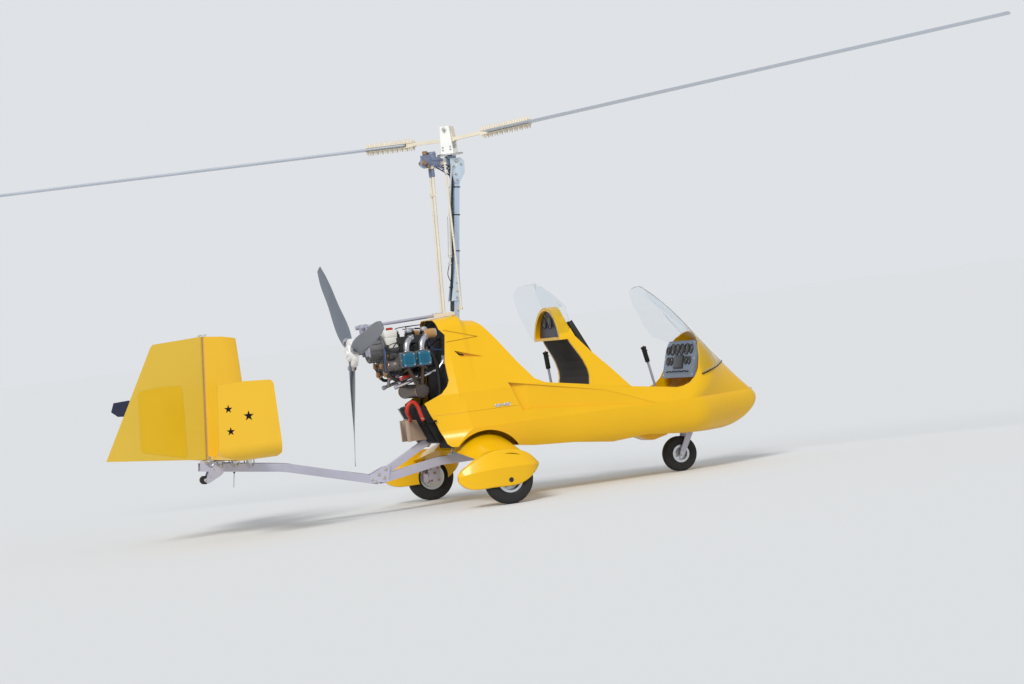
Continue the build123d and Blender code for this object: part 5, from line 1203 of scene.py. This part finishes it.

# Painted shadow: the near tip plate's shadow on the rudder, laid as a deeper yellow patch on both faces
SHADOW_CORNERS = ((-2548, 676), (-2226, 594), (-2519, 1098), (-2202, 1106))
SHADOW_STEPS = 24
rudder_skin = skin("rudder")
shadow_patch = bmesh.new()
for side in SIDES:
    rows = []
    for i in range(SHADOW_STEPS + 1):
        t = i / SHADOW_STEPS
        row = []
        for k in range(SHADOW_STEPS + 1):
            s = k / SHADOW_STEPS
            x, z = [(1 - s) * ((1 - t) * a + t * b) + s * ((1 - t) * c + t * d)
                    for a, b, c, d in zip(*SHADOW_CORNERS)]
            hit = on_skin(rudder_skin, x, z + 12 * math.sin(math.pi * t) * s, side)
            rounding = sum(max(0.0, abs(at - 0.5) * 24 - 11.2) for at in (t, s))
            row.append(shadow_patch.verts.new(hit[0] + hit[1] * 1.4) if hit and rounding < 1.0 else None)
        rows.append(row)
    for low, high in zip(rows, rows[1:]):
        for k in range(SHADOW_STEPS):
            quad = [v for v in (low[k], low[k + 1], high[k + 1], high[k]) if v]
            if len(quad) > 2:
                shadow_patch.faces.new(quad)
make("rudder_painted_shadow", shadow_patch, TIP_PLATE_SHADOW, "rudder_body", 60)

bm = bmesh.new()
for x in (-2000, -1890, -1780):
    bolt(bm, (x, 30, boom_z(x) + 12), OUT, 8.5, 8)
    bolt(bm, (x, 22, 586.5), UP, 6.5)
for x, z in ((-905, 262), (-880, 242), (-812, 262), (-795, 322), (-850, 290)):
    bolt(bm, (x, 36, z), OUT, 8.5, 8)
for x, z in ((-1985, 496), (-2085, 445), (-2050, 488)):
    bolt(bm, (x, 35, z), OUT)
bolt(bm, (-2122, 35, 424), OUT, 8, 6)
for x in (-2014, -1982):
    bolt(bm, (x, 10, 1441), UP, 5)
mirror(bm)
lathe(bm, ((0, 0), (9, 0), (10, 2), (10, 6), (0, 7)), (-2027.5, 0, 1440.5), (0.09, 0, 1), 6)
turned(bm, ((12, 0), (14, 4), (14, 12), (10, 16)), (-2107, 0, 546), (0.09, 0, 1))
make("tail_bolts", bm, STEEL)

bm = bmesh.new()
hose(bm, ((-900, -12, 292), (-1100, -12, 345), (-1400, -12, 420), (-1520, -12, 458), (-1800, -12, 500),
          (-2000, -12, 531)), 5, 8)
make("rudder_cable", bm, CABLE)
bm = bmesh.new()
turned(bm, ((7, 0), (7, 8), (3, 12), (2, 16), (1.6, 110)), (-1898, 0, 452), (-0.16, 0, -1), 12)
make("boom_whip", bm, CABLE)

# Saddles that clamp the stabiliser to the boom
bm = bmesh.new()
for x in (-2070, -2000, -1890, -1780):
    z = boom_z(x)
    hoses(bm, 4.2, 8, ((x - 30, 33, 548), (x - 22, 34, z + 20), (x, 34, z + 4), (x + 22, 34, z + 20),
                       (x + 30, 33, 548)))
    for side in SIDES:
        rounded_box(bm, (x, side * 37, 543), (74, 14, 10), 3)
make("boom_saddles", bm, POLISHED)
